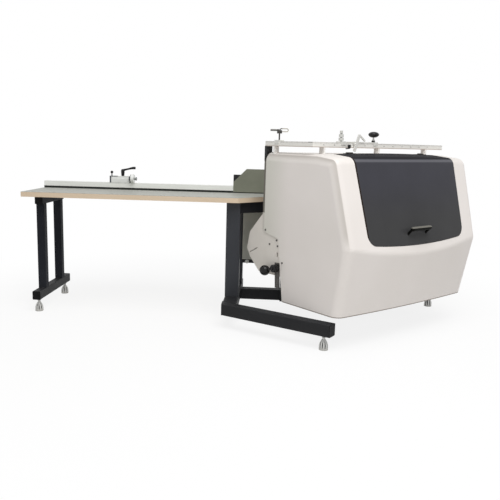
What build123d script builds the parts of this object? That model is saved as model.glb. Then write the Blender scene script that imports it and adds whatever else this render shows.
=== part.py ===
from build123d import *
import math
import os

# Tenoning machine: a side table on two stands and a hooded cutting head on a swivel column.
# Millimetres, +Z up. The layout is drawn from the floor below the front right corner of the table,
# +X along the fence to the right, +Y away from the operator. Export moves the finished machine so
# that its origin is the middle of its footprint on the floor.

# Table and fence
table_height = 900.0            # floor to the top of the laminate
table_length = 1566.0           # front edge, left end to the front right corner
table_depth = 680.0
table_reach = 480.0             # rear part of the table past the front right corner
table_mitre = 45.0              # degrees between the cut right end and the front edge
board_thickness = 34.5
laminate_thickness = 1.5
fence_setback = 454.0           # front edge of the table to the face of the fence
fence_height = 53.0
fence_width = 40.0
fence_reach = 430.0             # fence past the front right corner of the table
slot_neck = 10.0                # slot along the top of the fence
slot_neck_depth = 6.0
slot_chamber = 18.0
slot_chamber_depth = 8.0
fence_groove = 11.0             # chip groove along the foot of the fence
fence_groove_depth = 12.0

# Fits
running_clearance = 0.05        # radial, turning and sliding round parts
slide_gap = 0.1                 # flat faces that slide on each other
big = 4000.0                    # half spaces used as cutters

# Levelling feet
foot_height = 95.0              # floor to the underside of the base bars
bell_height = 80.0
bell_diameter = 58.0
bell_rim = 8.0
bell_shoulder = 50.0            # diameters and heights of the bell above its rim
bell_shoulder_height = 12.0
bell_waist = 36.0
bell_waist_height = 44.0
bell_collar = 26.4
bell_collar_height = 70.0
bell_neck = 24.0
flute_count = 10
flute_width = 7.0
flute_depth = 6.0
stud_diameter = 16.0
stud_in_bell = 40.0
stud_above_bar = 12.0
nut_diameter = 30.0
nut_height = 12.0

# Tubes of the stands
tube_wall = 4.0
tube_corner = 6.0
cap_thickness = 4.0

# Left stand
left_tube = 60.0
left_bar_height = 65.0
left_stand_inset = 78.0         # left end of the table to the middle of the stand
left_base_front = 40.0
left_base_length = 652.0
left_foot_inset = 46.0
left_front_upright_y = 186.0
left_rear_upright_y = 535.0
left_top_front = 138.0
left_top_length = 440.0

# Right stand
right_tube = 100.0
right_bar_height = 80.0
right_stand_x = -37.0
right_front_upright_y = 113.0
right_rear_upright_y = 550.0
right_base_rear = 690.0
right_foot_inset = 45.0
leg_width = 80.0
leg_splay = 30.0                # degrees the front leg turns away from the front edge
leg_corner_y = -73.6            # where the front leg meets the left face of the base bar
leg_length = 863.0
leg_foot_inset = 51.0
rail_width = 60.0               # bar under the table from the front upright to the column
rail_height = 80.0
rail_overhang = 75.0            # rail past the middle of the column

# Swivel column
column_x = 385.0
column_y = 362.0
column_diameter = 110.0
column_bore = 80.0
column_base_width = 140.0
column_flange = 15.0
thrust_ring_height = 15.0
sleeve_diameter = 140.0
sleeve_top_gap = 12.0
far_leg_angle = 17.2            # degrees from the fence direction
far_leg_reach = 1201.0          # column to the far foot
far_leg_overhang = 50.0

# Cabinet and guard
cabinet_width = 300.0
cabinet_depth = 140.0
cabinet_bottom = 381.0
cabinet_height = 390.0
cabinet_corner = 6.0
gland_diameter = 36.0
gland_length = 30.0
cabinet_bracket_length = 100.0
cabinet_bracket_height = 36.0
guard_left = -70.0
guard_right = 440.0
guard_thickness = 3.0
guard_foot = 7.0                # gap between the table and the guard plate
guard_shoulder = 83.0           # height of the left edge above the table
guard_top = 185.0
guard_slope = 100.0             # run of the slanted corner
guard_bracket_width = 53.0
guard_bracket_depth = 34.0
guard_bracket_height = 86.0

# Stop on the fence
stop_left = -1039.0
stop_length = 168.0
stop_width = 46.0
stop_height = 52.0
stop_end_cap = 12.0
stop_step_height = 32.0         # step along the front of the carriage
stop_step_depth = 6.0
stop_lever_x = -940.0
stop_lever_hub = 24.0
stop_lever_height = 44.0
stop_lever_reach = 94.0
stop_lever_rise = 34.0
stop_lever_arm = 13.0
stop_lever_grip = 18.0
stop_pin_x = -1027.0
stop_pin_diameter = 8.0
stop_pin_length = 44.0
stop_pin_seat = 16.0
stop_ball_diameter = 22.0
stop_disc_diameter = 68.0
stop_disc_thickness = 28.0
stop_disc_forward = 30.0        # how far the disc reaches in front of the carriage axis
stop_disc_edge = 2.0
stop_axle_diameter = 16.0
stop_axle_neck = 12.0           # axle between the disc and its end plate
stop_axle_plate = 26.0
stop_axle_plate_thickness = 8.0

# Head
swivel_rest = 42.0              # degrees the head stands turned away from the fence direction
pivot_across = 423.0            # left wall of the hood to the swivel axis
pivot_behind = 174.0            # rear edge of the hood to the swivel axis

# Hood, seen along its width: forward from its rear edge, height from the floor
hood_width = 1348.0             # along the bottom edge
right_draft = 4.0               # degrees the right wall leans outwards
hood_wall = 6.0
hood_bottom = 219.0
roof_rear_height = 1223.0
hinge_forward = 460.0
hinge_height = 1218.0
crease_forward = 620.0
crease_height = 1198.0
nose_forward = 777.0
nose_height = 667.0
toe_forward = 709.0
roof_crown = 14.0               # middle of the roof above its ends, from the hinge line forwards
front_bow = 28.0                # how far the middle of the front swells out
nose_dip = 78.0                 # how far the ridge of the nose sinks in the middle
hood_edge = 60.0                # radius of the moulded edges
notch_rear_height = 676.0       # lower rear of the side walls is cut away
notch_front_height = 646.0
notch_forward = 148.0
notch_toe_forward = 213.0
hood_stations = 5
overrun = 40.0

# Flap in the front of the hood
flap_wall = 5.0
flap_gap = 3.0
flap_left = 183.0               # side edges at the height of the lower corners
flap_right = 1205.0
flap_draft = 2.2                # degrees the side edges lean outwards
flap_bottom = 670.0
flap_sag = 27.0
flap_corner = 80.0
handle_across = 670.0
handle_span = 190.0
handle_height = 720.0
handle_diameter = 17.0
handle_offset = 52.0
handle_lean = 34.0              # degrees the posts rise from square to the flap
hinge_inset = 130.0
hinge_leaf_length = 30.0
hinge_leaf_reach = 28.0
hinge_leaf_top = 2.5            # above the roof
hinge_knuckle = 8.0
hinge_pin = 4.5
hinge_pin_rise = 4.7            # hinge axis above the roof
hinge_bore_extra = 2.0          # bore past the end of the pin

# Frame of the head
cheek_thickness = 12.0
cheek_bottom = 388.0
cheek_top = 1150.0
cheek_rear = -188.0
cheek_step_forward = 222.0
cheek_front = 540.0
cheek_slope_drop = 150.0        # slanted upper front corner of the cheeks
cheek_slope_run = 240.0
fin_root_height = 841.0         # fin of the left cheek behind the hood
fin_shoulder = (-24.0, 801.0)   # its corners, as forward and height
fin_upper = (-159.0, 660.0)
fin_tip_height = 537.0
fin_lower = (-152.0, 479.0)
fin_foot = -50.0
bed_bottom = 240.0
bed_thickness = 20.0
bed_front = 620.0
slot_forward = -114.0
slot_height = 532.0
slot_lean = -28.0               # degrees
slot_length = 95.0
slot_width = 8.0
cheek_hole_forward = 138.0
cheek_hole_middle = 533.0
cheek_hole_width = 16.0
cheek_hole_height = 36.0
screw_diameter = 13.0
screw_head = 4.0
cheek_screws = ((57.0, 597.0), (140.0, 594.0), (128.0, 632.0))    # forward and height
hood_screws = ((16.0, 692.0), (197.0, 487.0))
wall_forward = 14.0             # rear face of the rear wall
wall_thickness = 10.0
wall_top = 1195.0
seal_depth = 18.0
work_left = 170.0
work_right = 700.0
work_bottom = 870.0
work_top = 1165.0
flange_width = 280.0
flange_height = 360.0
flange_thickness = 10.0
web_thickness = 15.0
web_spacing = 90.0
spigot_diameter = 150.0
spigot_wall = 4.0
spigot_length = 120.0
spigot_across = 1030.0
spigot_height = 600.0
spigot_flange = 25.0
spigot_flange_thickness = 5.0

# Clamp lever on the cheek
clamp_forward = 146.0
clamp_height = 444.0
clamp_hub_diameter = 54.0
clamp_hub_length = 44.0
clamp_hub_edge = 4.0
clamp_ball_diameter = 64.0
clamp_ball_forward = 66.0
clamp_ball_height = 427.0
clamp_ball_out = 34.0           # middle of the ball outside the hood wall
clamp_arm_diameter = 20.0
clamp_button_diameter = 18.0
clamp_button_rise = 6.0
clamp_plate_width = 44.0
clamp_plate_bottom = 306.0
clamp_plate_top = 480.0
clamp_plate_lean = -3.0         # degrees

# Stop rails on the roof
rail_section = 40.0
rail_thickness = 34.0
rail_rise = 40.0                # underside of the rails above the rear of the roof
side_rail_across = 24.0
front_rail_forward = 370.0
front_rail_overhang = 68.0      # front rail past the foot of the right wall
support_length = 14.0
support_shares = (0.1, 0.5, 0.9)   # feet of the front rail along the width of the hood
corner_block_depth = 25.0
corner_block_width = 48.0
corner_block_height = 100.0
block_cheek = 4.0               # sides of the blocks that straddle the rails
block_skirt = 16.0
block_top = 8.0

# T-handle clamp on the side rail
tee_forward = 75.0
tee_block_length = 40.0
tee_stem = 10.0
tee_rise = 65.0
tee_hub = 34.0
tee_hub_height = 22.0
tee_length = 122.0
tee_bar = 13.0
tee_turn = 42.0                 # degrees of the handle against the rail at rest

# Width stop on the front rail
turret_across = 306.0
knob_across = 631.0
prop_across = 425.0
stop_block_length = 44.0
stop_rod_diameter = 7.0
stop_rod_spacing = 22.0
stop_rod_rise = 4.0             # rod axis above the rail
turret_tiers = (34.0, 31.0, 20.0)   # diameters from the lowest up
turret_tier_height = 19.0
turret_neck = 14.0
turret_neck_height = 4.0
knob_diameter = 75.0
knob_cap_height = 45.0
knob_dome = 25.0                # upper, rounded part of the cap
knob_stem = 12.0
knob_stem_height = 27.0
knob_throat = 22.0              # underside of the cap round the stem
knob_foot = 24.0                # collar on the block
knob_foot_height = 12.0
prop_width = 20.0
prop_thickness = 9.0
prop_rise = 70.0                # arm above the pin
prop_drop = 46.0                # arm below the pin
prop_lean = 22.0                # degrees from upright
prop_strut_lean = 124.0         # degrees from upright
prop_strut_length = 70.0
prop_hub = 26.0
prop_pin = 10.0
prop_pin_height = 1285.0

# Cutting unit
rod_diameter = 40.0
rod_height = 330.0
rod_rear = 235.0
rod_front = 455.0
saddle_across = 1000.0
saddle_width = 300.0
saddle_length = 300.0
saddle_height = 60.0
saddle_rear = 195.0
cross_screw_diameter = 24.0
lift_column_diameter = 36.0
lift_column_spacing = 210.0
lift_column_forward = 345.0
bridge_bottom = 1150.0
bridge_thickness = 22.0
lift_screw_diameter = 20.0
lift_screw_forward = 278.0
lift_screw_side = 118.0
axis_height = 960.0
carrier_width = 290.0
carrier_rear = 255.0
carrier_length = 150.0
carrier_height = 150.0
motor_diameter = 160.0
motor_rear = 110.0
motor_front = 520.0
fin_count = 5
fin_depth = 6.0
fin_width = 10.0
spindle_diameter = 50.0
spindle_flange = 80.0
spindle_flange_thickness = 12.0
spindle_rear = 34.0
spindle_depth = 40.0            # inside the motor
cutter_diameter = 140.0
cutter_rear = 40.0
cutter_width = 52.0
blade_count = 4
blade_thickness = 8.0
blade_depth = 22.0
blade_standout = 5.0

# Derived positions
table_underside = table_height - laminate_thickness - board_thickness
table_mitre_depth = table_reach * math.tan(math.radians(table_mitre))
fence_top = table_height + fence_height
left_stand_x = left_stand_inset - table_length
left_bar_top = foot_height + left_bar_height
right_left_face = right_stand_x - right_tube / 2
right_right_face = right_stand_x + right_tube / 2
right_bar_top = foot_height + right_bar_height
rail_bottom = table_underside - rail_height
roof_slope = (roof_rear_height - hinge_height) / hinge_forward
draft_slope = math.tan(math.radians(right_draft))
roof_width = hood_width + (roof_rear_height - hood_bottom) * draft_slope
wall_front = wall_forward + wall_thickness
cheek_outer = hood_wall
cheek_inner = hood_wall + cheek_thickness
bed_top = bed_bottom + bed_thickness
rails_bottom = roof_rear_height + rail_rise
rails_top = rails_bottom + rail_thickness
blocks_top = rails_top + slide_gap + block_top
saddle_bottom = rod_height - saddle_height / 2
saddle_top = rod_height + saddle_height / 2
sleeve_bottom = right_bar_top + column_flange + thrust_ring_height + slide_gap
sleeve_top = rail_bottom - sleeve_top_gap

# Places: left stand, front leg, far leg, under-table rail, head
left_base_place = Pos(left_stand_x, left_base_front, foot_height) * Rot(0, 0, 90)
left_top_place = Pos(left_stand_x, left_top_front, table_underside - left_bar_height) * Rot(0, 0, 90)
right_base_place = Pos(right_stand_x, right_base_rear, foot_height) * Rot(0, 0, -90)
leg_place = Pos(right_left_face, leg_corner_y, foot_height) * Rot(0, 0, -leg_splay)
far_leg_place = Pos(column_x, column_y, foot_height) * Rot(0, 0, far_leg_angle)
rail_run_x = column_x - right_right_face
rail_run_y = column_y - right_front_upright_y
rail_angle = math.degrees(math.atan2(rail_run_y, rail_run_x))
rail_length = math.hypot(rail_run_x, rail_run_y) + rail_overhang
table_rail_place = Pos(column_x, column_y, rail_bottom) * Rot(0, 0, rail_angle)
head_place = Pos(column_x, column_y, 0) * Rot(0, 0, swivel_rest) * Pos(-pivot_across, -pivot_behind, 0)


def head_at(forward, across, height):
    """A place in the head: forward from the rear edge of the hood, across from its left wall."""
    return Pos(across, -forward, height)


def block_between(low, high):
    """A box from one corner to the opposite one."""
    size = [b - a for a, b in zip(low, high)]
    middle = [(a + b) / 2 for a, b in zip(low, high)]
    return Pos(*middle) * Box(*size)


def head_block(forward, across, height):
    """A box in the head from three (low, high) pairs."""
    return block_between((across[0], -forward[1], height[0]), (across[1], -forward[0], height[1]))


def rod_up(diameter, low, high):
    """A round bar along +Z."""
    return Pos(0, 0, (low + high) / 2) * Cylinder(diameter / 2, high - low)


def rod_across(diameter, low, high):
    """A round bar along +X."""
    return Pos((low + high) / 2, 0, 0) * Rot(0, 90, 0) * Cylinder(diameter / 2, high - low)


def rod_forward(diameter, low, high):
    """A round bar along the head's forward direction, which is -Y."""
    return Pos(0, -(low + high) / 2, 0) * Rot(90, 0, 0) * Cylinder(diameter / 2, high - low)


def group(shapes):
    """Separate solids kept in one node."""
    return Compound(list(shapes))


# Tubes and feet

def tube_section(width, height):
    outside = RectangleRounded(width, height, tube_corner)
    inside = RectangleRounded(width - 2 * tube_wall, height - 2 * tube_wall, tube_corner - tube_wall)
    return outside - inside


def bar_tube(length, width, height):
    """Rectangular tube along +X from the origin, centred on Y, standing on Z = 0."""
    return Pos(0, 0, height / 2) * extrude(Plane.YZ * tube_section(width, height), length)


def bar_cap(width, height):
    """Closing plate for the far end of a bar tube."""
    face = Plane.YZ * RectangleRounded(width, height, tube_corner)
    return Pos(0, 0, height / 2) * extrude(face, cap_thickness)


def upright_tube(width, low, high):
    return Pos(0, 0, low) * extrude(tube_section(width, width), high - low)


def foot_places():
    left_front = Pos(left_stand_x, left_base_front + left_foot_inset, 0)
    left_rear = Pos(left_stand_x, left_base_front + left_base_length - left_foot_inset, 0)
    right_rear = Pos(right_stand_x, right_base_rear - right_foot_inset, 0)
    down = Pos(0, 0, -foot_height)
    leg_tip = leg_place * down * Pos(leg_length - leg_foot_inset, -leg_width / 2, 0)
    far_tip = far_leg_place * down * Pos(far_leg_reach, 0, 0)
    return [left_front, left_rear, right_rear, leg_tip, far_tip]


def stud_holes():
    hole = rod_up(stud_diameter + 2 * running_clearance, foot_height - 1, foot_height + tube_wall + 1)
    return [place * hole for place in foot_places()]


def bell_foot():
    """Bell-shaped foot with upright flutes and a blind bore for the stud."""
    half = bell_diameter / 2
    shoulder = bell_shoulder / 2
    outline = Polyline(
        (0, 0),
        (half, 0),
        (half, bell_rim),
        (shoulder, bell_shoulder_height),
        (bell_waist / 2, bell_waist_height),
        (bell_collar / 2, bell_collar_height),
        (bell_neck / 2, bell_height),
        (0, bell_height),
        close=True,
    )
    bell = revolve(Plane.XZ * make_face(outline), Axis.Z)
    low = (-flute_depth, -flute_width / 2, bell_shoulder_height)
    flute = block_between(low, (half, flute_width / 2, bell_height))
    flutes = [place * flute for place in PolarLocations(shoulder, flute_count)]
    bore = rod_up(stud_diameter + 2 * running_clearance, bell_height - stud_in_bell, bell_height + 1)
    return bell - flutes - bore


def foot_stud():
    """Stud with its lock nut against the bar."""
    stud = rod_up(stud_diameter, bell_height - stud_in_bell, foot_height + tube_wall + stud_above_bar)
    nut = extrude(RegularPolygon(nut_diameter / 2, 6), nut_height)
    return stud + Pos(0, 0, foot_height - nut_height) * nut


# Stands

def left_base_bar():
    return left_base_place * bar_tube(left_base_length, left_tube, left_bar_height) - stud_holes()


def left_top_bar():
    return left_top_place * bar_tube(left_top_length, left_tube, left_bar_height)


def left_upright(y):
    return Pos(left_stand_x, y, 0) * upright_tube(left_tube, left_bar_top, table_underside - left_bar_height)


def right_upright(y):
    return Pos(right_stand_x, y, 0) * upright_tube(right_tube, right_bar_top, table_underside)


def right_base_bar():
    """Base bar whose front end is cut along the front leg."""
    length = right_base_rear - leg_corner_y + right_tube
    bar = right_base_place * bar_tube(length, right_tube, right_bar_height)
    in_front_of_leg = leg_place * Pos(0, -big / 2, 0) * Box(big, big, big)
    return bar - in_front_of_leg - stud_holes()


def front_leg_bar():
    """Splayed leg whose left end is cut flush with the base bar."""
    place = leg_place * Pos(-leg_width, -leg_width / 2, 0)
    bar = place * bar_tube(leg_length + leg_width, leg_width, right_bar_height)
    left_of_stand = Pos(right_left_face - big / 2, 0, 0) * Box(big, big, big)
    return bar - left_of_stand - stud_holes()


def rear_leg_bar():
    length = column_x - column_base_width / 2 - right_right_face
    return Pos(right_right_face, column_y, foot_height) * bar_tube(length, leg_width, right_bar_height)


def column_base_block():
    half = column_base_width / 2
    block = block_between((-half, -half, foot_height), (half, half, right_bar_top))
    return Pos(column_x, column_y, 0) * block


def far_leg_bar():
    """Leg from the column base to the far foot."""
    length = far_leg_reach + far_leg_overhang
    return far_leg_place * bar_tube(length, leg_width, right_bar_height) - column_base_block() - stud_holes()


def table_rail():
    """Bar below the table from the front upright across the top of the column."""
    start = Pos(-rail_length + rail_overhang - rail_width, 0, 0)
    bar = table_rail_place * start * bar_tube(rail_length + rail_width, rail_width, rail_height)
    left_of_upright = Pos(right_right_face - big / 2, 0, 0) * Box(big, big, big)
    return bar - left_of_upright


def tube_caps():
    left_cap = bar_cap(left_tube, left_bar_height)
    leg_cap = bar_cap(leg_width, right_bar_height)
    mitre_width = leg_width / math.cos(math.radians(leg_splay))
    mitre_cap = block_between((-cap_thickness, -mitre_width, 0), (0, 0, right_bar_height))
    return [
        left_base_place * Pos(left_base_length, 0, 0) * left_cap,
        left_base_place * Pos(-cap_thickness, 0, 0) * left_cap,
        left_top_place * Pos(left_top_length, 0, 0) * left_cap,
        left_top_place * Pos(-cap_thickness, 0, 0) * left_cap,
        right_base_place * Pos(-cap_thickness, 0, 0) * bar_cap(right_tube, right_bar_height),
        Pos(right_left_face, leg_corner_y, foot_height) * mitre_cap,
        leg_place * Pos(leg_length, -leg_width / 2, 0) * leg_cap,
        far_leg_place * Pos(far_leg_reach + far_leg_overhang, 0, 0) * leg_cap,
        table_rail_place * Pos(rail_overhang, 0, 0) * bar_cap(rail_width, rail_height),
    ]


def swivel_column():
    """Base block, flange and tube that the head turns on."""
    flange_top = right_bar_top + column_flange
    flange = rod_up(column_base_width, right_bar_top, flange_top)
    tube = rod_up(column_diameter, flange_top, rail_bottom)
    tube -= rod_up(column_bore, flange_top, rail_bottom - column_flange)
    return column_base_block() + Pos(column_x, column_y, 0) * (flange + tube)


def thrust_ring():
    low = right_bar_top + column_flange
    ring = rod_up(sleeve_diameter, low, low + thrust_ring_height)
    bore = rod_up(column_diameter + 2 * running_clearance, low - 1, low + thrust_ring_height + 1)
    return Pos(column_x, column_y, 0) * (ring - bore)


# Table, fence and guard

def table_slab(low, high):
    outline = Polyline(
        (-table_length, 0),
        (0, 0),
        (table_reach, table_mitre_depth),
        (table_reach, table_depth),
        (-table_length, table_depth),
        close=True,
    )
    return Pos(0, 0, low) * extrude(make_face(outline), high - low)


def fence_profile():
    """Extrusion with a slot along its top and a groove along its foot."""
    length = table_length + fence_reach
    rear = fence_setback + fence_width
    middle = fence_setback + fence_width / 2
    bar = block_between((-table_length, fence_setback, table_height), (fence_reach, rear, fence_top))
    neck_floor = fence_top - slot_neck_depth
    neck = Box(length, slot_neck, slot_neck_depth)
    chamber = Box(length, slot_chamber, slot_chamber_depth)
    centre_x = (fence_reach - table_length) / 2
    slot = [
        Pos(centre_x, middle, fence_top - slot_neck_depth / 2) * neck,
        Pos(centre_x, middle, neck_floor - slot_chamber_depth / 2) * chamber,
    ]
    groove = Box(length, 2 * fence_groove_depth, 2 * fence_groove)
    groove = Pos(centre_x, fence_setback, table_height) * groove
    return bar - slot - groove


def guard_plate():
    """Sheet on the face of the fence with a slanted upper corner."""
    outline = Polyline(
        (guard_left, table_height + guard_foot),
        (guard_right, table_height + guard_foot),
        (guard_right, table_height + guard_top),
        (guard_left + guard_slope, table_height + guard_top),
        (guard_left, table_height + guard_shoulder),
        close=True,
    )
    return Pos(0, fence_setback, 0) * extrude(Plane.XZ * make_face(outline), guard_thickness)


def guard_bracket():
    low = (guard_left, fence_setback, fence_top)
    right = guard_left + guard_bracket_width
    high = (right, fence_setback + guard_bracket_depth, fence_top + guard_bracket_height)
    return block_between(low, high)


def control_cabinet():
    """Closed cabinet on the rear upright with a cable gland below."""
    rear = right_rear_upright_y + right_tube / 2
    low = (right_right_face, rear - cabinet_depth, cabinet_bottom)
    high = (right_right_face + cabinet_width, rear, cabinet_bottom + cabinet_height)
    case = block_between(low, high)
    case = fillet(case.edges().filter_by(Axis.Z), cabinet_corner)
    gland = rod_up(gland_diameter, cabinet_bottom - gland_length, cabinet_bottom)
    return case + Pos(high[0] - gland_diameter * 2, rear - cabinet_depth / 2, 0) * gland


def cabinet_bracket():
    front = right_rear_upright_y - right_tube / 2
    low = (right_right_face, front, cabinet_bottom - cabinet_bracket_height)
    high = (right_right_face + cabinet_bracket_length, front + right_tube / 2, cabinet_bottom)
    return block_between(low, high)


# Stop on the fence

stop_axis_y = fence_setback + fence_width / 2
stop_bottom = fence_top + slide_gap
stop_top = stop_bottom + stop_height
stop_right = stop_left + stop_length
stop_disc_y = stop_axis_y - stop_disc_forward
stop_disc_height = stop_bottom + stop_disc_diameter / 2


def stop_carriage():
    """Carriage with a key in the fence slot, end plates, pin seat and an axle for the disc."""
    half = stop_width / 2
    front = stop_axis_y - half
    body = block_between((stop_left, front, stop_bottom), (stop_right, stop_axis_y + half, stop_top))
    waist = block_between(
        (stop_left + stop_end_cap, front, stop_bottom + stop_step_height),
        (stop_right - stop_end_cap, front + stop_step_depth, stop_top),
    )
    key_half = slot_neck / 2 - slide_gap
    key = block_between(
        (stop_left + stop_end_cap, stop_axis_y - key_half, fence_top - slot_neck_depth),
        (stop_right - stop_end_cap, stop_axis_y + key_half, stop_bottom),
    )
    axle_place = Pos(stop_right - stop_end_cap, stop_disc_y, stop_disc_height)
    lug = axle_place * rod_across(stop_axle_diameter * 2, 0, stop_end_cap)
    arm = block_between(
        (stop_right - stop_end_cap, stop_disc_y, stop_disc_height - stop_axle_diameter),
        (stop_right, stop_axis_y, stop_disc_height + stop_axle_diameter),
    )
    plate_left = stop_end_cap + stop_disc_thickness + stop_axle_neck
    axle = rod_across(stop_axle_diameter, 0, plate_left)
    axle += rod_across(stop_axle_plate, plate_left, plate_left + stop_axle_plate_thickness)
    axle = axle_place * axle
    bore = Pos(stop_pin_x, stop_axis_y, 0) * rod_up(
        stop_pin_diameter + 2 * running_clearance, stop_top - stop_pin_seat, stop_top + 1
    )
    return body - waist + key + lug + arm + axle - bore


def stop_lever():
    """Clamp lever: hub standing on the carriage and a rising arm."""
    low = stop_top + slide_gap
    hub = rod_up(stop_lever_hub, low, low + stop_lever_height)
    hub_top = low + stop_lever_height
    tip = Vector(stop_lever_reach, 0, hub_top + stop_lever_rise - stop_lever_arm)
    root = Vector(0, 0, hub_top - stop_lever_arm)
    arm_plane = Plane(origin=root, z_dir=tip - root)
    arm = extrude(arm_plane * Circle(stop_lever_arm / 2), (tip - root).length)
    grip = Pos(*tip) * Sphere(stop_lever_grip / 2)
    return Pos(stop_lever_x, stop_axis_y, 0) * (hub + arm + grip)


def stop_pin():
    """Pull pin with a ball knob."""
    low = stop_top - stop_pin_seat + slide_gap
    stem = rod_up(stop_pin_diameter, low, low + stop_pin_length)
    ball = Pos(0, 0, low + stop_pin_length) * Sphere(stop_ball_diameter / 2)
    return Pos(stop_pin_x, stop_axis_y, 0) * (stem + ball)


def stop_disc():
    """Round stop that turns on the carriage axle."""
    left = stop_right + slide_gap
    disc = rod_across(stop_disc_diameter, left, left + stop_disc_thickness)
    disc = chamfer(disc.edges().filter_by(GeomType.CIRCLE), stop_disc_edge)
    bore = rod_across(stop_axle_diameter + 2 * running_clearance, left - 1, left + stop_disc_thickness + 1)
    return Pos(0, stop_disc_y, stop_disc_height) * (disc - bore)


# Hood

def swell_at(across):
    """How far the hood has swelled between its ends: 0 at both ends, 1 in the middle."""
    share = across / roof_width
    return 4 * share * (1 - share)


def hood_section(across, inset):
    """Side outline of the hood at one place across its width, shrunk by a wall thickness."""
    swell = swell_at(across)
    bow = front_bow * swell - inset
    lift = roof_crown * swell - inset
    past = overrun if inset else 0
    toe_slope = (nose_forward - toe_forward) / (nose_height - hood_bottom)
    corners = [
        (-past, roof_rear_height - inset),
        (hinge_forward, hinge_height + lift),
        (crease_forward + bow, crease_height + lift),
        (nose_forward + bow, nose_height - nose_dip * swell),
        (toe_forward + bow - toe_slope * past, hood_bottom - past),
        (-past, hood_bottom - past),
    ]
    return make_face(Polyline([(across, -forward, height) for forward, height in corners], close=True))


def right_wall_across(height, inset):
    """Where the leaning right wall stands at a height, moved inwards by a wall thickness."""
    thickness = inset / math.cos(math.radians(right_draft))
    return hood_width + (height - hood_bottom) * draft_slope - thickness


def beyond_right_wall(inset):
    """Everything to the right of the right wall, moved inwards by a wall thickness."""
    foot = head_at(0, right_wall_across(hood_bottom, inset), hood_bottom)
    return foot * Rot(0, right_draft, 0) * Pos(big / 2, 0, 0) * Box(big, big, big)


def moulded_edges(body, inset):
    """The crease, the nose ridge and the upper outlines of both ends of a hood body."""
    box = body.bounding_box()
    picked = []
    for edge in body.edges():
        middle = edge.center()
        at_left = middle.X < inset + 1
        at_right = abs(middle.X - right_wall_across(middle.Z, inset)) < 1
        along = abs(middle.X - hood_width / 2) < hood_width / 4
        on_front = middle.Y < -hinge_forward - 1
        raised = middle.Z > box.min.Z + 1
        ahead = middle.Y < box.max.Y - 1
        if raised and (((at_left or at_right) and ahead) or (along and on_front)):
            picked.append(edge)
    return picked


def hood_body(inset):
    """Solid hood form; an inset one is the space inside a wall of that thickness."""
    last = hood_stations - 1
    spread = roof_width - inset
    body = loft([hood_section(inset + spread * i / last, inset) for i in range(hood_stations)])
    body -= beyond_right_wall(inset)
    return fillet(moulded_edges(body, inset), hood_edge - inset)


def flap_prism(gap):
    """Everything in front of the hinge line inside the flap outline, drawn smaller by a gap."""
    left = flap_left + gap
    right = flap_right - gap
    bottom = flap_bottom + gap
    top = roof_rear_height + overrun
    lean = (top - bottom) * math.tan(math.radians(flap_draft))
    middle = (left + right) / 2
    outline = [
        Line((left - lean, top), (left, bottom)),
        ThreePointArc((left, bottom), (middle, bottom - flap_sag), (right, bottom)),
        Line((right, bottom), (right + lean, top)),
        Line((right + lean, top), (left - lean, top)),
    ]
    face = make_face(outline)
    low_corners = face.vertices().sort_by(Axis.Y)[:2]
    face = fillet(low_corners, flap_corner - gap)
    return Pos(0, -hinge_forward - gap, 0) * extrude(Plane.XZ * face, nose_forward)


def notch_prism():
    """Lower rear part of the side walls that is cut away."""
    outline = Polyline(
        (overrun, notch_rear_height + overrun / 4),
        (0, notch_rear_height),
        (-notch_forward, notch_front_height),
        (-notch_toe_forward, hood_bottom - overrun),
        (overrun, hood_bottom - overrun),
        close=True,
    )
    return extrude(Plane.YZ * make_face(outline), roof_width)


hood_outside = hood_body(0)
hood_room = hood_body(hood_wall)


def hood_shell():
    return hood_outside - hood_room - flap_prism(0) - notch_prism()


def flap_panel():
    return (hood_outside - hood_body(flap_wall)) & flap_prism(flap_gap)


def front_point(height, across):
    """Point on the flap and the outward direction there, as forward and height."""
    swell = swell_at(across)
    crease = crease_height + roof_crown * swell
    fall = (nose_forward - crease_forward) / (crease - nose_height + nose_dip * swell)
    forward = crease_forward + front_bow * swell + (crease - height) * fall
    size = math.hypot(1, fall)
    return forward, 1 / size, fall / size


def flap_handle():
    """Bow handle: a bar on two posts that stand on the flap."""
    forward, out_forward, out_up = front_point(handle_height, handle_across)
    rise = math.degrees(math.atan2(out_up, out_forward)) + handle_lean
    place = head_at(forward, handle_across, handle_height) * Rot(-rise, 0, 0)
    half = handle_span / 2
    post = rod_forward(handle_diameter, -overrun / 2, handle_offset)
    posts = [Pos(side * half, 0, 0) * post for side in (-1, 1)]
    bar = Pos(0, -handle_offset, 0) * rod_across(handle_diameter, -half, half)
    ends = [Pos(side * half, -handle_offset, 0) * Sphere(handle_diameter / 2) for side in (-1, 1)]
    bow = place * (bar + posts + ends)
    return bow - hood_outside


# Flap hinges

hinge_places = (flap_left + hinge_inset, flap_right - hinge_inset)
hinge_roof = hinge_height + roof_crown * min(swell_at(across) for across in hinge_places)
hinge_axis_forward = hinge_forward + flap_gap / 2
hinge_axis_height = hinge_roof + hinge_pin_rise


def hinge_leaf(side):
    """Knuckle and leaf on one side of the hinge line: -1 is the roof, +1 is the flap."""
    if side < 0:
        across = (-hinge_leaf_length - 1, -1)
    else:
        across = (1, hinge_leaf_length + 1)
    reach = sorted((hinge_axis_forward, hinge_axis_forward + side * hinge_leaf_reach))
    leaf = head_block(reach, across, (crease_height, hinge_roof + hinge_leaf_top))
    knuckle = head_at(hinge_axis_forward, 0, hinge_axis_height) * rod_across(hinge_knuckle, *across)
    return leaf + knuckle


def hinge_pin_rod(diameter, reach):
    """A round bar on the hinge axis, through the roof knuckle and on to a reach in the flap knuckle."""
    place = head_at(hinge_axis_forward, 0, hinge_axis_height)
    return place * rod_across(diameter, -hinge_leaf_length, reach)


def hinge_fixed():
    """Roof leaves with their pins, shaped to the roof."""
    leaf = hinge_leaf(-1) + hinge_pin_rod(hinge_pin, hinge_leaf_length)
    return [Pos(across, 0, 0) * leaf - hood_outside for across in hinge_places]


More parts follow.
